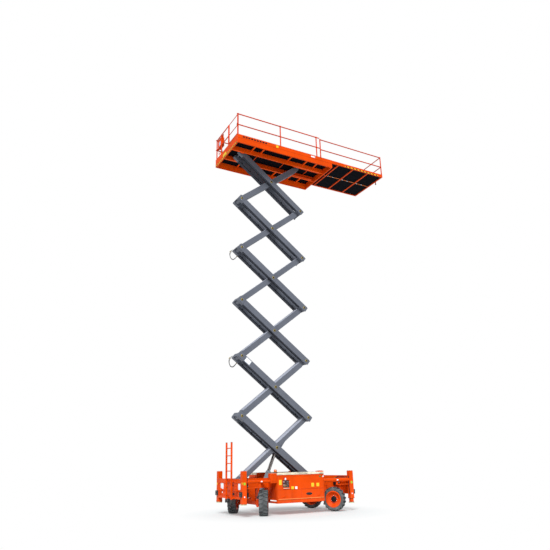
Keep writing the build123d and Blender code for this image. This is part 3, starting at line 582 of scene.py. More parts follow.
for level in range(1, LEVELS + 1):
    body, place = f"outer_arm_{level}", arm_place("outer", level)
    pins, caps, keepers, plates = Shape(place), Shape(place), Shape(place), Shape(place)
    for x, radius, covered in ((0, 0.041, False), (-HALF, 0.036, level == LEVELS), (HALF, 0.036, level == 1)):
        for side in (NEAR, FAR):
            if not covered:
                ring = [(0, radius), (0, radius + 0.01), (0.007, radius + 0.01), (0.013, radius)]
                pins.turned((x, side * 0.312, 0), (0, side, 0), ring, 28)
                caps.rod((x, side * 0.318, 0), (0, side * 0.016, 0), radius * 0.78, 0.003, 24)
            for lift in (-0.072, 0.072):
                keepers.hexagon((x + 0.045, side * OUTER_Y, lift), (0, side * 0.009, 0), 0.012)
    pins.piece(f"pin_rings_outer_{level}", "olive", body)
    caps.piece(f"pin_caps_outer_{level}", "black", body)
    corner = 0.03 if level == LEVELS else 0.108
    for low_x, high_x, low_z, high_z, thick, bevel in (
            (-HALF - 0.085, -HALF + 0.15, -0.108, corner, 0.005, 0.002),
            (HALF - 0.085, HALF + 0.15, -0.108, 0.108, 0.005, 0.002),
            (-0.16, 0.16, -0.1, 0.1, 0.005, 0.002),
            *[(x - 0.004, x + 0.004, -0.119, 0.119, 0.002, 0.0008) for x in STIFFENERS]):
        for low, high in both(((low_x, OUTER_Y, low_z), (high_x, OUTER_Y + thick, high_z))):
            plates.block(low, high, bevel)
    plates.piece(f"doubler_plates_outer_{level}", "grey", body)
    keepers.piece(f"pin_bolts_outer_{level}", "steel", body)
    # a flat cable strip, in the same near-black as the painted shade under the deck
    slabs(f"cable_strip_{level}", "underside_shade", [
        ((-HALF + 0.2, GAP_Y - 0.004, -0.112), (HALF - 0.2, GAP_Y, -0.088)),
    ], body=body, place=place)
    # painted shade on the undersides of both tubes
    slabs(f"arm_underside_painted_shade_{level}", "arm_shade", both(
        ((-HALF + 0.17, 0.153, -0.1215), (HALF - 0.17, 0.297, -0.12)),
    ), body=body, place=place)
    Shape(place).tube([(x, -0.165, -0.1275) for x in (-HALF + 0.25, 0, HALF - 0.25)], 0.0095).piece(
        f"arm_pipe_{level}", "hose", body)
    slabs(f"cable_clips_{level}", "black", [
        ((x - 0.02, GAP_Y - 0.006, -0.116), (x + 0.02, GAP_Y, -0.046)) for x in (-1.5, -1, -0.5, 0, 0.5, 1, 1.5)
    ], 0.001, body, place)

    body, place = f"inner_arm_{level}", arm_place("inner", level)
    collars = Shape(place)
    for side in (NEAR, FAR):
        for x in (-HALF, 0, HALF):
            collars.turned((x, side * INNER_Y, 0), (0, side, 0), COLLAR, 32)
    collars.piece(f"collars_inner_{level}", "grey", body)
    top, reach = (0.1, HALF - 0.1) if level == 1 else (0.12, HALF - 0.225)
    # painted highlight on the upper edge of each side and on the top face
    slabs(f"painted_light_inner_{level}", "arm_highlight", both(
        ((-reach, INNER_Y, top - 0.001 - EDGE_BANDS[level - 1]), (reach, 0.1425, top - 0.001)),
    ) + [((-reach, -0.139, top), (reach, 0.139, top + 0.0015))], body=body, place=place)

slabs("arm_label", "white", [
    ((-HALF + 0.2, -OUTER_Y - 0.007, -0.09), (-HALF + 0.46, -OUTER_Y - 0.005, 0.09)),
], body="outer_arm_2", place=arm_place("outer", 2))

for level in (2, 4):
    body, place = f"outer_arm_{level}", arm_place("outer", level)
    slabs(f"hose_tag_{level}", "olive", [
        ((-HALF - 0.205, 0.338, -0.185), (-HALF - 0.168, 0.35, -0.12)),
    ], body=body, place=place)
    fittings = Shape(place)
    for y, x, z, away in ((0.344, 0.15, 0.055, (-1, 0, 0)), (0.344, 0.17, -0.085, (0, 0, -1)),
                          (0.372, 0.15, 0.028, (-1, 0, 0)), (0.372, 0.165, -0.085, (0, 0, -1))):
        start, away = Vector((x - HALF, y, z)), Vector(away)
        fittings.rod(start, away * 0.035, 0.0135, 0.002, 16)
        fittings.hexagon(start + away * 0.002, away * 0.016, 0.0165)
    fittings.piece(f"hose_fittings_{level}", "zinc", body)

# ---- wheels: treads, hub caps and bolts ----
TYRE_R, LUGS, RIM_FACE = 0.427, 19, 0.036
SHOULDER = [(0.1, 0.394), (0.14, 0.386), (0.156, 0.366), (0.156, 0.32), (0.148, 0.297), (0.1355, 0.29),
            (0.1355, 0.27)]
CARCASS = [(-x, r) for x, r in SHOULDER[::-1]] + [(0, 0.397)] + SHOULDER + [(-0.1355, 0.27)]
# corners of a lug: distances across the tyre and round it
LUG = (-0.012, -0.004), (0.06, 0.04), (0.15, 0.058), (0.15, 0.108), (0.05, 0.088), (-0.012, 0.038)


def lug(shape, middle, side):
    """One slanted bar of the tread, from the middle of the tyre to its shoulder."""
    low, high = [], []
    for across, round_tyre in LUG:
        foot, crown, spread = (0.372, TYRE_R - 0.004, 0.006) if across > 0.1 else (0.39, TYRE_R, 0)
        turn = middle + round_tyre / TYRE_R
        low.append((foot * cos(turn), foot * sin(turn), side * (across + spread)))
        turn = middle + round_tyre * 0.997 / TYRE_R
        high.append((crown * cos(turn), crown * sin(turn), side * across))
    count = len(low)
    walls = [[i, (i + 1) % count, count + (i + 1) % count, count + i] for i in range(count)]
    shape.add(low + high, [list(range(count)), list(range(count, 2 * count))] + walls)


for *_, name in CORNERS:
    joint = JOINTS["spin_" + name]
    axis, up = Vector(joint["axis"]).normalized(), Vector(UP)
    turn = Matrix((up, axis.cross(up), axis)).transposed().to_4x4()
    body, place = f"wheel_{name}", Matrix.Translation(Vector(joint["pos_m"])) @ turn
    tread = Shape(place).turned((0, 0, 0), UP, CARCASS, 72, capped=False)
    for side in (NEAR, FAR):
        for step in range(LUGS):
            lug(tread, tau * (step + 0.25 * (1 + side)) / LUGS, side)
        for radius in (0.305, 0.345):
            ring = [(0, radius), (side * 0.0012, radius + 0.003), (0, radius + 0.006)]
            tread.turned((0, 0, side * 0.156), UP, ring, 72, capped=False)
    made = tread.piece(f"tread_{name}", "tyre", body, smooth=30)
    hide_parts(f"tyre_{name}")
    hub = [(0, 0.1), (0.045, 0.098), (0.068, 0.09), (0.078, 0.06), (0.08, 0)]
    Shape(place).turned((0, 0, RIM_FACE), UP, hub, 40).piece(f"hub_cap_{name}", "black", body)
    nuts = Shape(place)
    for x, y in around(9):
        nuts.hexagon((0.117 * x, 0.117 * y, RIM_FACE), (0, 0, 0.017), 0.011)
    nuts.rod((0.235, 0, 0.02), (0.015, 0, 0.055), 0.006, 0.001, 12)
    nuts.piece(f"wheel_nuts_{name}", "steel", body)
    dish = [(0.022, 0.131), (0.0235, 0.15), (0.045, 0.205), (0.098, 0.24), (0.124, 0.2555), (0.126, 0.2555),
            (0.1, 0.236), (0.047, 0.201), (0.026, 0.15), (0.036, 0.131), (0.022, 0.131)]
    Shape(place).turned((0, 0, 0), UP, dish, 56, capped=False).piece(f"rim_dish_{name}", "chassis", body)
    kingpin = JOINTS["steer_" + name]["pos_m"]
    caps = Shape(Matrix.Translation((kingpin[0], kingpin[1], TYRE_R)))
    for out in (1, -1):
        cap = [(0, 0.038), (0.007, 0.037), (0.01, 0.028), (0.01, 0)]
        caps.turned((0, 0, out * 0.125), (0, 0, out), cap, 28)
        caps.hexagon((0, 0, out * 0.134), (0, 0, out * 0.009), 0.014)
    caps.piece(f"kingpin_caps_{name}", "steel", f"knuckle_{name}")

# ---- side housings: lids, doors ----
LID_LOW, LID_EDGE, LID_TOP = 1.334, 1.404, 1.409
DOOR_LEFT, DOOR_RIGHT = FRONT + 0.035, REAR - 0.035
for side, tag in SIDES:
    body, outer = f"door_{tag}", side * SIDE_Y
    slabs(f"lid_{tag}", "cream", [
        ((FRONT - 0.004, outer, LID_LOW), (REAR + 0.004, outer + side * 0.004, LID_EDGE)),
        ((FRONT - 0.004, side * 0.47, LID_EDGE), (0.79, outer + side * 0.004, LID_TOP)),
        ((FRONT - 0.004, side * 0.47, LID_LOW), (FRONT, outer, LID_TOP)),
    ], 0.0015)
    slabs(f"lid_straps_{tag}", "steel", [
        ((x - 0.02, side * 0.6, LID_TOP), (x + 0.02, side * 1.05, LID_TOP + 0.0035)) for x in (-0.6, 0.0, 0.6)
    ])
    bolts, latches = Shape(), Shape()
    for step in range(9):
        bolts.hexagon((FRONT + 0.1 + step * 0.223, outer + side * 0.004, 1.368), (0, side * 0.008, 0), 0.009)
    bolts.piece(f"lid_bolts_{tag}", "steel")
    slabs(f"door_seam_{tag}", "shade", [
        ((DOOR_LEFT, outer, 0.833), (DOOR_RIGHT, outer + side * 0.003, 0.847)),
        ((0.006, outer, 0.52), (0.014, outer + side * 0.002, 0.833)),
    ], body=body)
    # the door's bottom lip in a lighter orange: painted highlight along its edge
    slabs(f"door_lip_{tag}", "lip", [
        ((DOOR_LEFT, outer - side * 0.004, 0.512), (DOOR_RIGHT, outer + side * 0.01, 0.536)),
    ], 0.003, body)
    slabs(f"door_rib_{tag}", "orange", [
        ((DOOR_LEFT, outer, 1.27), (DOOR_RIGHT, outer + side * 0.006, 1.282)),
    ], 0.003, body)
    for x in (-0.72, 0.74):
        latches.block((x - 0.065, outer, 0.575), (x + 0.065, outer + side * 0.005, 0.635), 0.002)
        latches.block((x - 0.045, outer + side * 0.005, 0.59), (x + 0.045, outer + side * 0.013, 0.618), 0.004)
    latches.piece(f"door_latches_{tag}", "orange", body)
    ring = [(0.341 + 0.13 * x, 0.67 + 0.045 * z) for x, z in around(28)]
    upright = Matrix(((1, 0, 0, 0), (0, 0, 1, 0), (0, 1, 0, 0), (0, 0, 0, 1)))
    depths = sorted((outer, outer + side * 0.004))
    Shape().prism(ring, *depths, upright, 0.001).piece(f"hand_hole_{tag}", "plastic", body)

for name, finish, marks in (
        ("near_door_yellow_labels", "yellow", ((-0.852, 1.083, 0.11, 0.17), (-0.349, 0.886, 0.11, 0.11),
                                               (0.504, 0.965, 0.12, 0.13), (0.726, 0.964, 0.12, 0.12))),
        ("near_door_white_labels", "white", ((-0.199, 0.884, 0.09, 0.09), (0.971, 1.245, 0.05, 0.05))),
        ("near_door_green_label", "green", ((0.843, 1.245, 0.075, 0.05),))):
    slabs(name, finish, on_face(1, -SIDE_Y, -1, *marks), body="door_near")
slabs("far_door_labels", "yellow", on_face(
    1, SIDE_Y, 1, (-0.7, 1.05, 0.1, 0.14), (0.6, 1.0, 0.14, 0.09)), body="door_far")
slabs("engine_vents", "shade", [
    ((-0.32, SIDE_Y, 0.9 + row * 0.03), (0.42, SIDE_Y + 0.01, 0.914 + row * 0.03)) for row in range(11)
], 0.003, "door_far")

# ---- the control window in the near door ----
LEFT, RIGHT, BOTTOM, TOP, RIM = -0.757, -0.497, 0.915, 1.154, 0.01
PANEL_Y = -1.128
slabs("window_frame", "shade", [
    ((low_x, -SIDE_Y - 0.003, low_z), (high_x, -SIDE_Y + 0.004, high_z)) for low_x, high_x, low_z, high_z in (
        (LEFT - RIM, RIGHT + RIM, TOP, TOP + RIM), (LEFT - RIM, RIGHT + RIM, BOTTOM - RIM, BOTTOM),
        (LEFT - RIM, LEFT, BOTTOM, TOP), (RIGHT, RIGHT + RIM, BOTTOM, TOP))
], 0.002, "door_near")
slabs("window_panel", "cabinet", [
    ((LEFT - 0.004, PANEL_Y, BOTTOM - 0.004), (RIGHT + 0.004, PANEL_Y + 0.008, TOP + 0.004)),
], body="door_near")
# two small pinkish marks on the panel: painted glints
slabs("window_glints", "glint", on_face(
    1, PANEL_Y, -1, (-0.705, 1.1, 0.06, 0.05), (-0.695, 1.0, 0.08, 0.03)), body="door_near")
slabs("window_ledge", "cream", [((-0.73, -SIDE_Y - 0.03, 0.876), (-0.5, -SIDE_Y, 0.892))], 0.004, "door_near")
buttons, switches = Shape(), Shape()
for x in (-0.565, -0.525):
    for z in (0.955, 1.005, 1.055, 1.105):
        buttons.rod((x, PANEL_Y, z), (0, -0.009, 0), 0.011, 0.002, 16)
buttons.piece("window_buttons", "steel", "door_near")
for x in (-0.72, -0.67, -0.62):
    switches.rod((x, PANEL_Y, 0.965), (0, -0.006, 0), 0.014, 0.002, 18)
    switches.rod((x, PANEL_Y - 0.006, 0.965), (0, -0.005, 0.009), 0.004, 0.001, 10)
switches.piece("window_switches", "zinc", "door_near")
BUTTON = [(0, 0.02), (0.012, 0.02), (0.014, 0.03), (0.024, 0.03), (0.028, 0.02), (0.029, 0)]
Shape().turned((-0.7, -SIDE_Y, 1.225), (0, -1, 0), BUTTON, 28).piece("stop_button", "red", "door_near")
LAMP = [(0, 0.04), (0.006, 0.04), (0.018, 0.032), (0.026, 0.018), (0.029, 0)]
Shape().turned((-0.645, -SIDE_Y, 1.194), (0, -1, 0), LAMP, 28).piece("door_lamp", "white", "door_near")

# ---- beacon, the box over the near front tube, panels on the housings ----
BEACON = [(0, 0.056), (0.062, 0.054), (0.086, 0.04), (0.094, 0)]
Shape().turned((-0.86, -0.8, 1.43), UP, BEACON, 32).piece("beacon_lens", "amber")
slabs("beacon_foot", "plastic", [((-0.93, -0.87, LID_TOP), (-0.79, -0.73, 1.43))], 0.004)
slabs("tube_box_near", "chassis", [
    ((-1.24, -1.13, 1.07), (-0.984, -0.96, 1.39)), ((-1.25, -1.132, 1.385), (-0.984, -0.95, 1.397)),
], 0.006)
slabs("tube_box_seams", "shade", on_face(
    1, -1.13, -1, (-1.11, 1.225, 0.004, 0.26), (-1.11, 1.335, 0.22, 0.004), (-1.11, 1.115, 0.22, 0.004),
    thickness=0.002), 0.0008)
slabs("rear_cap_panels", "shade", both(((0.82, 0.93, 1.435), (0.98, 1.1, 1.438))))
slabs("housing_ends", "shade", both(
    ((FRONT, 0.56, 0.56), (FRONT - 0.004, 1.05, 1.28)),
    ((REAR, 0.56, 0.56), (REAR + 0.004, 1.05, 1.28)),
), 0.003)

# ---- end frames ----
for end, tag in ENDS:
    low = 0.655 if end < 0 else 0.585
    face, bumper, recess, panel = end * END_X, end * (END_X + 0.055), end * RECESS_X, end * PANEL_X
    slabs(f"{tag}_bumpers", "rubber", both(((face, 0.965, low), (bumper, 1.138, low + 0.165))), 0.01)
    bolts, welds = Shape(), Shape()
    for side in (NEAR, FAR):
        for y, z in ((1.0, low + 0.04), (1.1, low + 0.04), (1.0, low + 0.125), (1.1, low + 0.125)):
            bolts.hexagon((bumper, side * y, z), (end * 0.006, 0, 0), 0.011)
        for y in (0.2, 0.45, 0.9):
            bolts.hexagon((face, side * y, 1.215), (end * 0.009, 0, 0), 0.011)
        for z in (0.661, 1.098):
            welds.tube([(end * 2.318, side * 0.02, z), (end * 2.318, side * 0.97, z)], 0.005, 8)
    bolts.piece(f"{tag}_end_bolts", "steel")
    slabs(f"{tag}_end_slots", "black", on_face(0, recess, end, (end * 0.31, 0.735, 0.17, 0.075))
          + on_face(0, panel, end, (end * 0.29, 1.02, 0.15, 0.06)))
    slabs(f"{tag}_end_white_labels", "white", on_face(
        0, panel, end, (0.65, 0.985, 0.25, 0.2), (-0.875, 0.99, 0.23, 0.21),
    ) + on_face(0, recess, end, (0.68, 0.764, 0.06, 0.05)))
    slabs(f"{tag}_reflectors", "yellow", on_face(
        0, face, end, (1.09, 1.056, 0.07, 0.07), (-1.115, 1.095, 0.05, 0.07)))
    hatch = Shape().block((recess, -0.68, 0.665), (recess + end * 0.01, -0.46, 0.835), 0.005)
    hatch.rod((recess + end * 0.008, -0.573, 0.743), (end * 0.006, 0, 0), 0.055, 0.003, 32)
    hatch.piece(f"{tag}_hatch", "shade")
    welds.piece(f"{tag}_end_welds", "chassis")

# ---- corner posts and legs, tubes over the axles, hydraulics ----
# for each end: tops of the posts, undersides of the feet, heights of two labels, lower end of the leg hose
POST_HEIGHTS = {-1: (1.49, 0.395, 1.08, 0.66, 0.62), 1: (1.41, 0.27, 1.0, 0.6, 0.6)}
# and of the tube over the axle: its height, its radius, its label's place and its inner end
TUBES = {-1: (1.14, 0.052, 1.583, 1.24), 1: (1.098, 0.066, 1.631, 1.006)}
for end, side, name in CORNERS:
    x, y = end * POST_X, side * POST_Y
    top, foot, lime_z, white_z, drop = POST_HEIGHTS[end]
    slabs(f"post_cap_{name}", "chassis", [
        ((x - 0.07, y - 0.07, top), (x + 0.07, y + 0.07, top + 0.006)),
    ], 0.003)
    bolts = Shape()
    for dx in (-0.05, 0.05):
        for dy in (-0.05, 0.05):
            bolts.hexagon((x + dx, y + dy, top + 0.006), (0, 0, 0.008), 0.009)
    bolts.piece(f"post_cap_bolts_{name}", "steel")
    slabs(f"post_lime_{name}", "lime", on_face(1, side * SIDE_Y, side, (x, lime_z, 0.085, 0.085)))
    slabs(f"post_white_{name}", "white", on_face(1, side * SIDE_Y, side, (x, white_z, 0.045, 0.04)))
    ring = [(0, 0.1055), (0.026, 0.1055), (0.029, 0.104)]
    Shape().turned((x, y, foot + 0.001), UP, ring, 48).piece(f"pad_ring_{name}", "pad", f"leg_{name}")
    slabs(f"pad_ears_{name}", "chassis", [
        ((ear - 0.006, y - 0.09, foot + 0.028), (ear + 0.006, y - 0.063, foot + 0.075))
        for ear in (x - 0.03, x + 0.03)
    ], 0.002, f"leg_{name}")
    slabs(f"post_collar_{name}", "chassis", [
        ((x + low_x, y + low_y, 0.432), (x + high_x, y + high_y, 0.472)) for low_x, high_x, low_y, high_y in (
            (-0.088, 0.088, -0.088, -0.083), (-0.088, 0.088, 0.083, 0.088),
            (-0.088, -0.083, -0.083, 0.083), (0.083, 0.088, -0.083, 0.083))
    ], 0.002)
    wall_x, hose_y = end * (POST_X - 0.0825), y + side * 0.045
    Shape().tube(curve([(wall_x - end * out, hose_y, z) for out, z in (
        (0, top - 0.2), (0.03, top - 0.215), (0.036, top - 0.3), (0.03, 1.0), (0.026, drop + 0.12),
        (0.016, drop + 0.03), (0, drop))]), 0.011).piece(f"leg_hose_{name}", "hose")

for end, side, name in CORNERS:
    z, radius, label_x, inner = TUBES[end]
    y = side * TUBE_Y
    slabs(f"tube_label_{name}", "white", on_face(
        1, y + side * radius, side, (end * label_x, z, 0.07, radius * 0.7)))
    rings = Shape()
    for x in (inner + 0.004, 2.168):
        rings.turned((end * x, y, z), (end, 0, 0), [(0, radius + 0.01), (0.008, radius + 0.01)], 36)
    rings.piece(f"tube_flanges_{name}", "chassis")
slabs("front_dark_blocks", "black", both(
    ((-2.165, 0.945, 0.93), (-2.085, 1.015, 1.17)), ((-2.15, 0.945, 0.63), (-2.04, 1.015, 0.79))), 0.004)
slabs("tube_green_mark", "green", on_face(1, -TUBE_Y - 0.02, -1, (1.548, 1.17, 0.05, 0.03)))

for end, side, name in CORNERS:
    slabs(f"valve_block_{name}", "black", [
        ((end * 2.06, side * 0.47, 0.905), (end * 1.86, side * 0.6, 1.06)),
    ], 0.004)
    valves, pipes = Shape(), Shape()
    for step in range(3):
        x, rise = 1.9 + step * 0.06, step * 0.03
        valves.rod((end * x, side * 0.6, 0.98), (0, side * 0.055, 0), 0.019, 0.003)
        valves.hexagon((end * x, side * 0.655, 0.98), (0, side * 0.013, 0), 0.015)
        valves.rod((end * x, side * 0.535, 1.06), (0, 0, 0.025), 0.013, 0.002, 16)
        pipes.tube(curve([(end * px, side * py, pz) for px, py, pz in (
            (x, 0.535, 1.085), (x, 0.545, 1.135 + rise), (x + 0.03, 0.62, 1.165 + rise),
            (2.02 + step * 0.02, 0.8, 1.15 + rise), (2.155, 0.93, 1.12 + rise), (2.178, 1.0, 1.1 + rise),
        )]), 0.01)
    valves.piece(f"valves_{name}", "steel")
    pipes.piece(f"hoses_{name}", "hose")

# ---- lift cylinders ----
FOOT = Vector((-1.12, 0, 0.56))
EYE_PIN = Vector((PIVOT_X + 1.795 * cos(SLOPE) + 0.185 * sin(SLOPE), 0,
                  PIVOT_Z + 1.795 * sin(SLOPE) - 0.185 * cos(SLOPE)))
RUN = (EYE_PIN - FOOT).normalized()
OUT = RUN.cross(Vector((0, 1, 0))).normalized()
for side, tag in SIDES:
    across = Vector((0, side * 0.068, 0))
    foot, eye = FOOT + across, EYE_PIN + across
    gland = Shape().turned(foot + RUN * 0.98, RUN, [
        (-0.052, 0.0625), (-0.05, 0.0635), (-0.006, 0.0635), (0.004, 0.06), (0.012, 0.048), (0.012, 0.0325),
        (-0.052, 0.0325),
    ], 40, capped=False)
    for distance in (0.1, 0.55):
        gland.sleeve(foot + RUN * distance, RUN, 0.0565, 0.0595, 0.022, 40)
    gland.piece(f"cylinder_bands_{tag}", "barrel", "lift_barrels")
    start = foot + RUN * 0.16 + Vector((0, side * 0.03, 0)) - OUT * 0.052
    Shape().tube(curve([start + RUN * along + OUT * out for along, out in (
        (0, 0.01), (0, -0.02), (0.05, -0.028), (0.4, -0.028), (0.72, -0.028), (0.765, -0.018), (0.77, 0.012),
    )]), 0.008).piece(f"cylinder_pipe_{tag}", "pipe", "lift_barrels")
    ring = [(0, 0.03), (0, 0.042), (0.066, 0.042), (0.066, 0.03), (0, 0.03)]
    Shape().turned(eye - Vector((0, 0.033, 0)), (0, 1, 0), ring, 32, capped=False).piece(
        f"rod_eye_ring_{tag}", "steel", "lift_rods")

# ---- ladder ----
LADDER_X, STILES = -2.44, (-0.435, 0.015)
grips, sockets, clamps = Shape(), Shape(), Shape()
GRIP = [(0, 0.0142), (0.001, 0.0158), (0.007, 0.0158), (0.008, 0.0142)]
for rung in range(7):
    for step in range(14):
        grips.turned((LADDER_X, -0.404 + step * 0.0292, 2.284 - rung * 0.26), (0, 1, 0), GRIP, 16)
grips.piece("rung_grips", "orange")
for y in STILES:
    sockets.block((LADDER_X - 0.038, y - 0.018, 0.448), (LADDER_X + 0.038, y + 0.018, 0.56), 0.005)
    sockets.block((LADDER_X - 0.033, y - 0.014, 2.478), (LADDER_X + 0.033, y + 0.014, 2.492), 0.004)
    for z in (0.617, 1.167):
        clamps.block((-END_X - 0.006, y - 0.035, z - 0.045), (-END_X, y + 0.035, z + 0.045), 0.002)
        for lift in (-0.034, 0.034):
            clamps.hexagon((-END_X - 0.006, y, z + lift), (-0.009, 0, 0), 0.009)
sockets.piece("ladder_sockets", "rubber")
clamps.piece("ladder_clamps", "chassis")

# ---- platform: painted-shade panels and painted-light beam faces under the floors, tread plate ----
MEMBERS, EXT_MEMBERS = (-1.56, -1.11, 0.28, 1.1, 1.64), (2.16, 2.7, 3.56, 4.42)
INSIDE, BEAM_IN, BEAM_OUT = DECK_Y - 0.05, 0.39, 0.45
BEAM_LOW, COAT = TOP_Z - 0.09, 0.0012
LEFT, RIGHT = DECK_LEFT + 0.05, DECK_RIGHT - 0.05
# near-black sheets between the beams: painted shade under the deck floor
slabs("deck_underside_painted_shade", "underside_shade", [
    ((low_x, side * BEAM_OUT, UNDERSIDE - 0.006), (high_x, side * INSIDE, UNDERSIDE))
    for low_x, high_x in between(LEFT, RIGHT, MEMBERS) for side in (NEAR, FAR)
] + [
    ((low_x, -BEAM_IN, UNDERSIDE - 0.006), (high_x, BEAM_IN, UNDERSIDE))
    for low_x, high_x in between(LEFT, RIGHT, (-1.11, 0.28, 1.6))
], 0.0, "platform")
# thin coats of lighter orange on the beams under the deck: painted light
slabs("deck_beam_faces", "lit_beam", [
    ((LEFT, y - COAT, low_z), (RIGHT, y, UNDERSIDE)) for y, low_z in ((-BEAM_OUT, BEAM_LOW), (1.1, DECK_LOW))
] + both(((LEFT, BEAM_IN, BEAM_LOW - COAT), (RIGHT, BEAM_OUT, BEAM_LOW)), *[
    ((x - 0.025 - COAT, BEAM_OUT + COAT, UNDERSIDE - 0.06 - COAT),
     (x + 0.025 + COAT, 1.098, UNDERSIDE - 0.0065))
    for x in MEMBERS
]), 0.0, "platform")
EXT_BAYS = between(MEMBERS[-1] + 0.025, EXT_RIGHT - 0.044, EXT_MEMBERS)
# near-black sheets between the members: painted shade under the extension floor
slabs("extension_underside_painted_shade", "underside_shade", [
    ((low_x, -1.066, EXT_LOW + 0.036), (high_x, 1.066, EXT_LOW + 0.042)) for low_x, high_x in EXT_BAYS
], 0.0, "extension")


def chequer(name, body, low_x, high_x, half_y, z):
    """Short raised bars in two directions, in rows over a floor."""
    shape, pitch, top = Shape(), 0.085, Vector((0, 0, 0.0022))
    for column in range(int((high_x - low_x) / pitch)):
        for row in range(int(2 * half_y / pitch)):
            lean = 0.7 if (column + row) % 2 else -0.7
            base = Vector((low_x + pitch * (column + 0.5), -half_y + pitch * (row + 0.5), z))
            along, wide = Vector((cos(lean), sin(lean), 0)) * 0.024, Vector((-sin(lean), cos(lean), 0)) * 0.005
            corners = [base - along, base + wide, base + along, base - wide]
            shape.add(corners + [base - along * 0.5 + top, base + along * 0.5 + top],
                      [(0, 3, 5, 4), (3, 2, 5), (2, 1, 5), (1, 0, 4, 5)])
    shape.piece(name, "tread_plate", body, smooth=5)


PLATE = FLOOR + 0.0008
EXT_PLATE = EXT_LOW + 0.0508
slabs("deck_plate", "tread_plate", [
    ((DECK_LEFT + 0.071, -1.129, FLOOR), (EXT_LEFT - 0.012, 1.129, PLATE)),
], 0.0, "platform")
chequer("deck_chequer", "platform", DECK_LEFT + 0.075, EXT_LEFT - 0.015, 1.125, PLATE)
slabs("extension_plate", "tread_plate", [
    ((EXT_LEFT + 0.002, -1.065, EXT_LOW + 0.05), (EXT_RIGHT - 0.045, 1.065, EXT_PLATE)),
], 0.0, "extension")
chequer("extension_chequer", "extension", EXT_LEFT + 0.01, EXT_RIGHT - 0.05, 1.06, EXT_PLATE)

# ---- platform: hazard bands, labels, seams ----
MARK_Z = TOP_Z + 0.135
slabs("extension_hazard", "hazard", both(
    ((3.05, EXT_Y, EXT_LOW + 0.012), (5.03, EXT_Y + 0.0015, EXT_LOW + 0.06))), 0.0, "extension")
slabs("deck_end_hazard", "hazard_end", [
    ((DECK_LEFT - 0.002, -1.15, DECK_LOW + 0.008), (DECK_LEFT, 1.15, DECK_LOW + 0.062)),
], 0.0, "platform")
slabs("deck_yellow_labels", "yellow", on_face(1, -DECK_Y, -1, (-0.66, MARK_Z, 0.11, 0.12))
      + on_face(0, DECK_LEFT, -1, (0.18, TOP_Z - 0.03, 0.34, 0.13)), body="platform")
slabs("deck_dark_marks", "black", on_face(
    1, -DECK_Y, -1, *[(-2.3 + step * 0.135, TOP_Z + 0.14, 0.092, 0.066) for step in range(9)],
), body="platform")
slabs("deck_white_labels", "white", on_face(1, -DECK_Y, -1, (1.2, MARK_Z, 0.22, 0.07))
      + on_face(1, DECK_Y, 1, (0.6, MARK_Z, 0.26, 0.11)), body="platform")
seams = Shape()
for side in (NEAR, FAR):
    y = side * DECK_Y
    left, right = DECK_LEFT + 0.002, DECK_RIGHT - 0.002
    seams.block((left, y, FOLD), (right, y + side * 0.003, FOLD + 0.012), 0.001)
    seams.block((left, y - side * 0.012, TOE_TOP), (DECK_RIGHT, y + side * 0.004, TOE_TOP + 0.004), 0.0015)
    for x in (-1.3, 0.02, 1.32):
        seams.block((x - 0.003, y, UNDERSIDE), (x + 0.003, y + side * 0.0025, TOE_TOP), 0.001)
seams.piece("toe_seams", "shade", "platform")

# ---- rails: sleeves round the joints, pins, gate ----
RAIL_LEFT, RAIL_Y = DECK_LEFT + 0.04, 1.16
POST_R, BAR_R = 0.0262, 0.0242
FOOT_SOCKET = [(0, POST_R), (0, 0.031), (0.11, 0.031), (0.113, POST_R)]
EXT_SOCKET = [(0, POST_R), (0, 0.03), (0.09, 0.03), (0.093, POST_R)]
sockets, pins, ext_sockets = Shape(), Shape(), Shape()
for side in (NEAR, FAR):
    y = side * RAIL_Y
    for x in (RAIL_LEFT, -0.47, 1.44):
        sockets.turned((x, y, FLOOR - 0.003), UP, FOOT_SOCKET, capped=False)
        for z in (MID_RAIL, TOP_RAIL):
            sockets.sleeve((x - 0.045, y, z), (1, 0, 0), BAR_R, 0.028, 0.09)
        pins.rod((x, y - side * 0.034, FLOOR + 0.08), (0, side * 0.064, 0), 0.007, 0.001, 12)
    y = side * 1.084
    for x, sleeve_x in ((1.705, 1.72), (5.274, 5.199)):
        ext_sockets.turned((x, y, EXT_LOW + 0.15), UP, EXT_SOCKET, capped=False)
        for z in (MID_RAIL, TOP_RAIL):
            ext_sockets.sleeve((sleeve_x, y, z), (1, 0, 0), BAR_R, 0.028, 0.06)
for y in (-0.17, 0.62):
    sockets.turned((RAIL_LEFT, y, FLOOR - 0.003), UP, FOOT_SOCKET, capped=False)
sockets.piece("rail_sockets", "rail", "platform")
pins.piece("rail_pins", "steel", "platform")
ext_sockets.piece("extension_rail_sockets", "rail", "extension")

slabs("gate_latch_plate", "plastic", [
    ((RAIL_LEFT - 0.032, -1.15, FLOOR + 0.585), (RAIL_LEFT + 0.032, -1.132, FLOOR + 0.665)),
], 0.004, "platform")
latch = Shape()
latch.block((RAIL_LEFT - 0.028, -1.105, FLOOR + 0.6), (RAIL_LEFT + 0.024, -1.075, FLOOR + 0.655), 0.004)
latch.rod((RAIL_LEFT, -1.09, FLOOR + 0.655), (0, 0, 0.055), 0.022, 0.004)
latch.piece("gate_latch", "plastic", "entry_gate")
hinges = Shape()
for z in (0.3, 0.95):
    hinges.rod((RAIL_LEFT, -0.23, FLOOR + z), (0, 0, 0.07), 0.0215, 0.003, 24)
hinges.piece("gate_hinge_sleeves", "orange", "entry_gate")

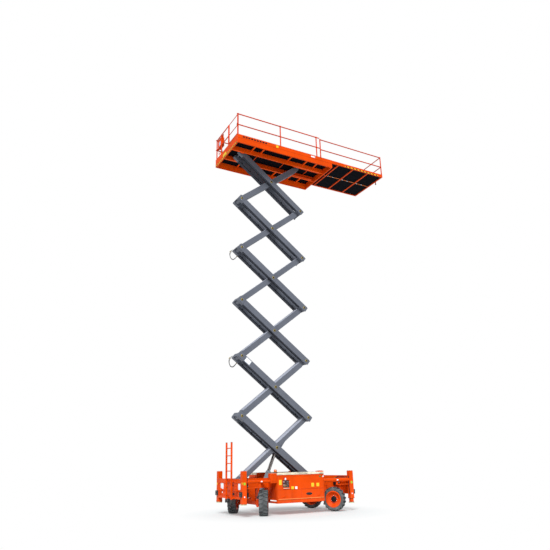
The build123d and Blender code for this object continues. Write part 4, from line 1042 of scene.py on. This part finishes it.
# ---- the control box on the left end, its joystick, buttons and cable ----
BOX_X, BOX_TOP = RAIL_LEFT + 0.026, FLOOR + 1.066
slabs("box_panel", "plastic", [
    ((BOX_X + 0.018, 0.7, FLOOR + 1.06), (BOX_X + 0.12, 1.09, BOX_TOP)),
], 0.002, "platform")
STICK = [(0, 0.032), (0.006, 0.032), (0.012, 0.022), (0.022, 0.026), (0.03, 0.014), (0.04, 0.01),
         (0.06, 0.018), (0.07, 0.02), (0.08, 0.014), (0.083, 0)]
Shape().turned((BOX_X + 0.065, 0.8, BOX_TOP), UP, STICK).piece("joystick", "rubber", "platform")
keys = Shape()
for y in (0.88, 0.92, 0.96):
    for x in (0.04, 0.085):
        keys.rod((BOX_X + x, y, BOX_TOP), (0, 0, 0.007), 0.01, 0.002, 16)
keys.piece("box_buttons", "steel", "platform")
STOP = [(0, 0.018), (0.01, 0.018), (0.012, 0.026), (0.022, 0.026), (0.026, 0.018), (0.027, 0)]
Shape().turned((BOX_X + 0.065, 1.04, BOX_TOP), UP, STOP, 28).piece("box_stop", "red", "platform")
Shape().tube(curve([(BOX_X + 0.02, y, FLOOR + z) for y, z in (
    (0.72, 1.04), (0.72, 1.095), (0.75, 1.118), (0.91, 1.118), (1.06, 1.118), (1.09, 1.095), (1.09, 1.04),
)]), 0.0095, 12).piece("box_guard", "steel", "platform")
slabs("box_label", "sky", on_face(
    0, BOX_X, -1, (0.9, FLOOR + 0.82, 0.17, 0.2), thickness=0.002), body="platform")
slabs("box_trim", "orange", [
    ((BOX_X - 0.004, 0.49, FLOOR + low), (BOX_X, 1.11, FLOOR + low + 0.012)) for low in (0.575, 1.085)
], body="platform")
Shape().tube(curve([(BOX_X + x, y, FLOOR + z) for x, y, z in (
    (0.07, 0.84, 0.63), (0.07, 0.84, 0.57), (0.045, 0.78, 0.5), (0.04, 0.7, 0.36), (0.036, 0.67, 0.2),
    (0.036, 0.66, 0.004),
)]), 0.0095).piece("box_cable", "hose", "platform")

# ---- extension drive, bracket and slide pads ----
ROD_Z = EXT_LOW + 0.02
drive, marks = Shape(), Shape()
for low_x, high_x in EXT_BAYS:
    drive.rod((low_x, 0, ROD_Z), (high_x - low_x, 0, 0), 0.01, 0.001, 14)
    for step in range(int((high_x - low_x) / 0.3)):
        marks.rod((low_x + 0.05 + step * 0.3, 0, ROD_Z), (0.07, 0, 0), 0.0112, 0.0005, 14)
drive.piece("extension_rod", "lip", "extension")
marks.piece("extension_rod_marks", "white", "extension")
slabs("extension_bracket", "red", [
    ((5.262, -0.6, EXT_LOW - 0.11), (5.298, -0.565, EXT_LOW)),
], 0.003, "extension")
slabs("extension_bracket_tip", "rubber", [
    ((5.258, -0.605, EXT_LOW - 0.15), (5.302, -0.56, EXT_LOW - 0.108)),
], 0.005, "extension")
slabs("slide_pads", "plastic", both(
    ((DECK_RIGHT, 1.06, UNDERSIDE - 0.03), (DECK_RIGHT + 0.022, 1.15, FLOOR + 0.001))), 0.003, "platform")

bpy.context.scene.view_settings.view_transform = "Standard"
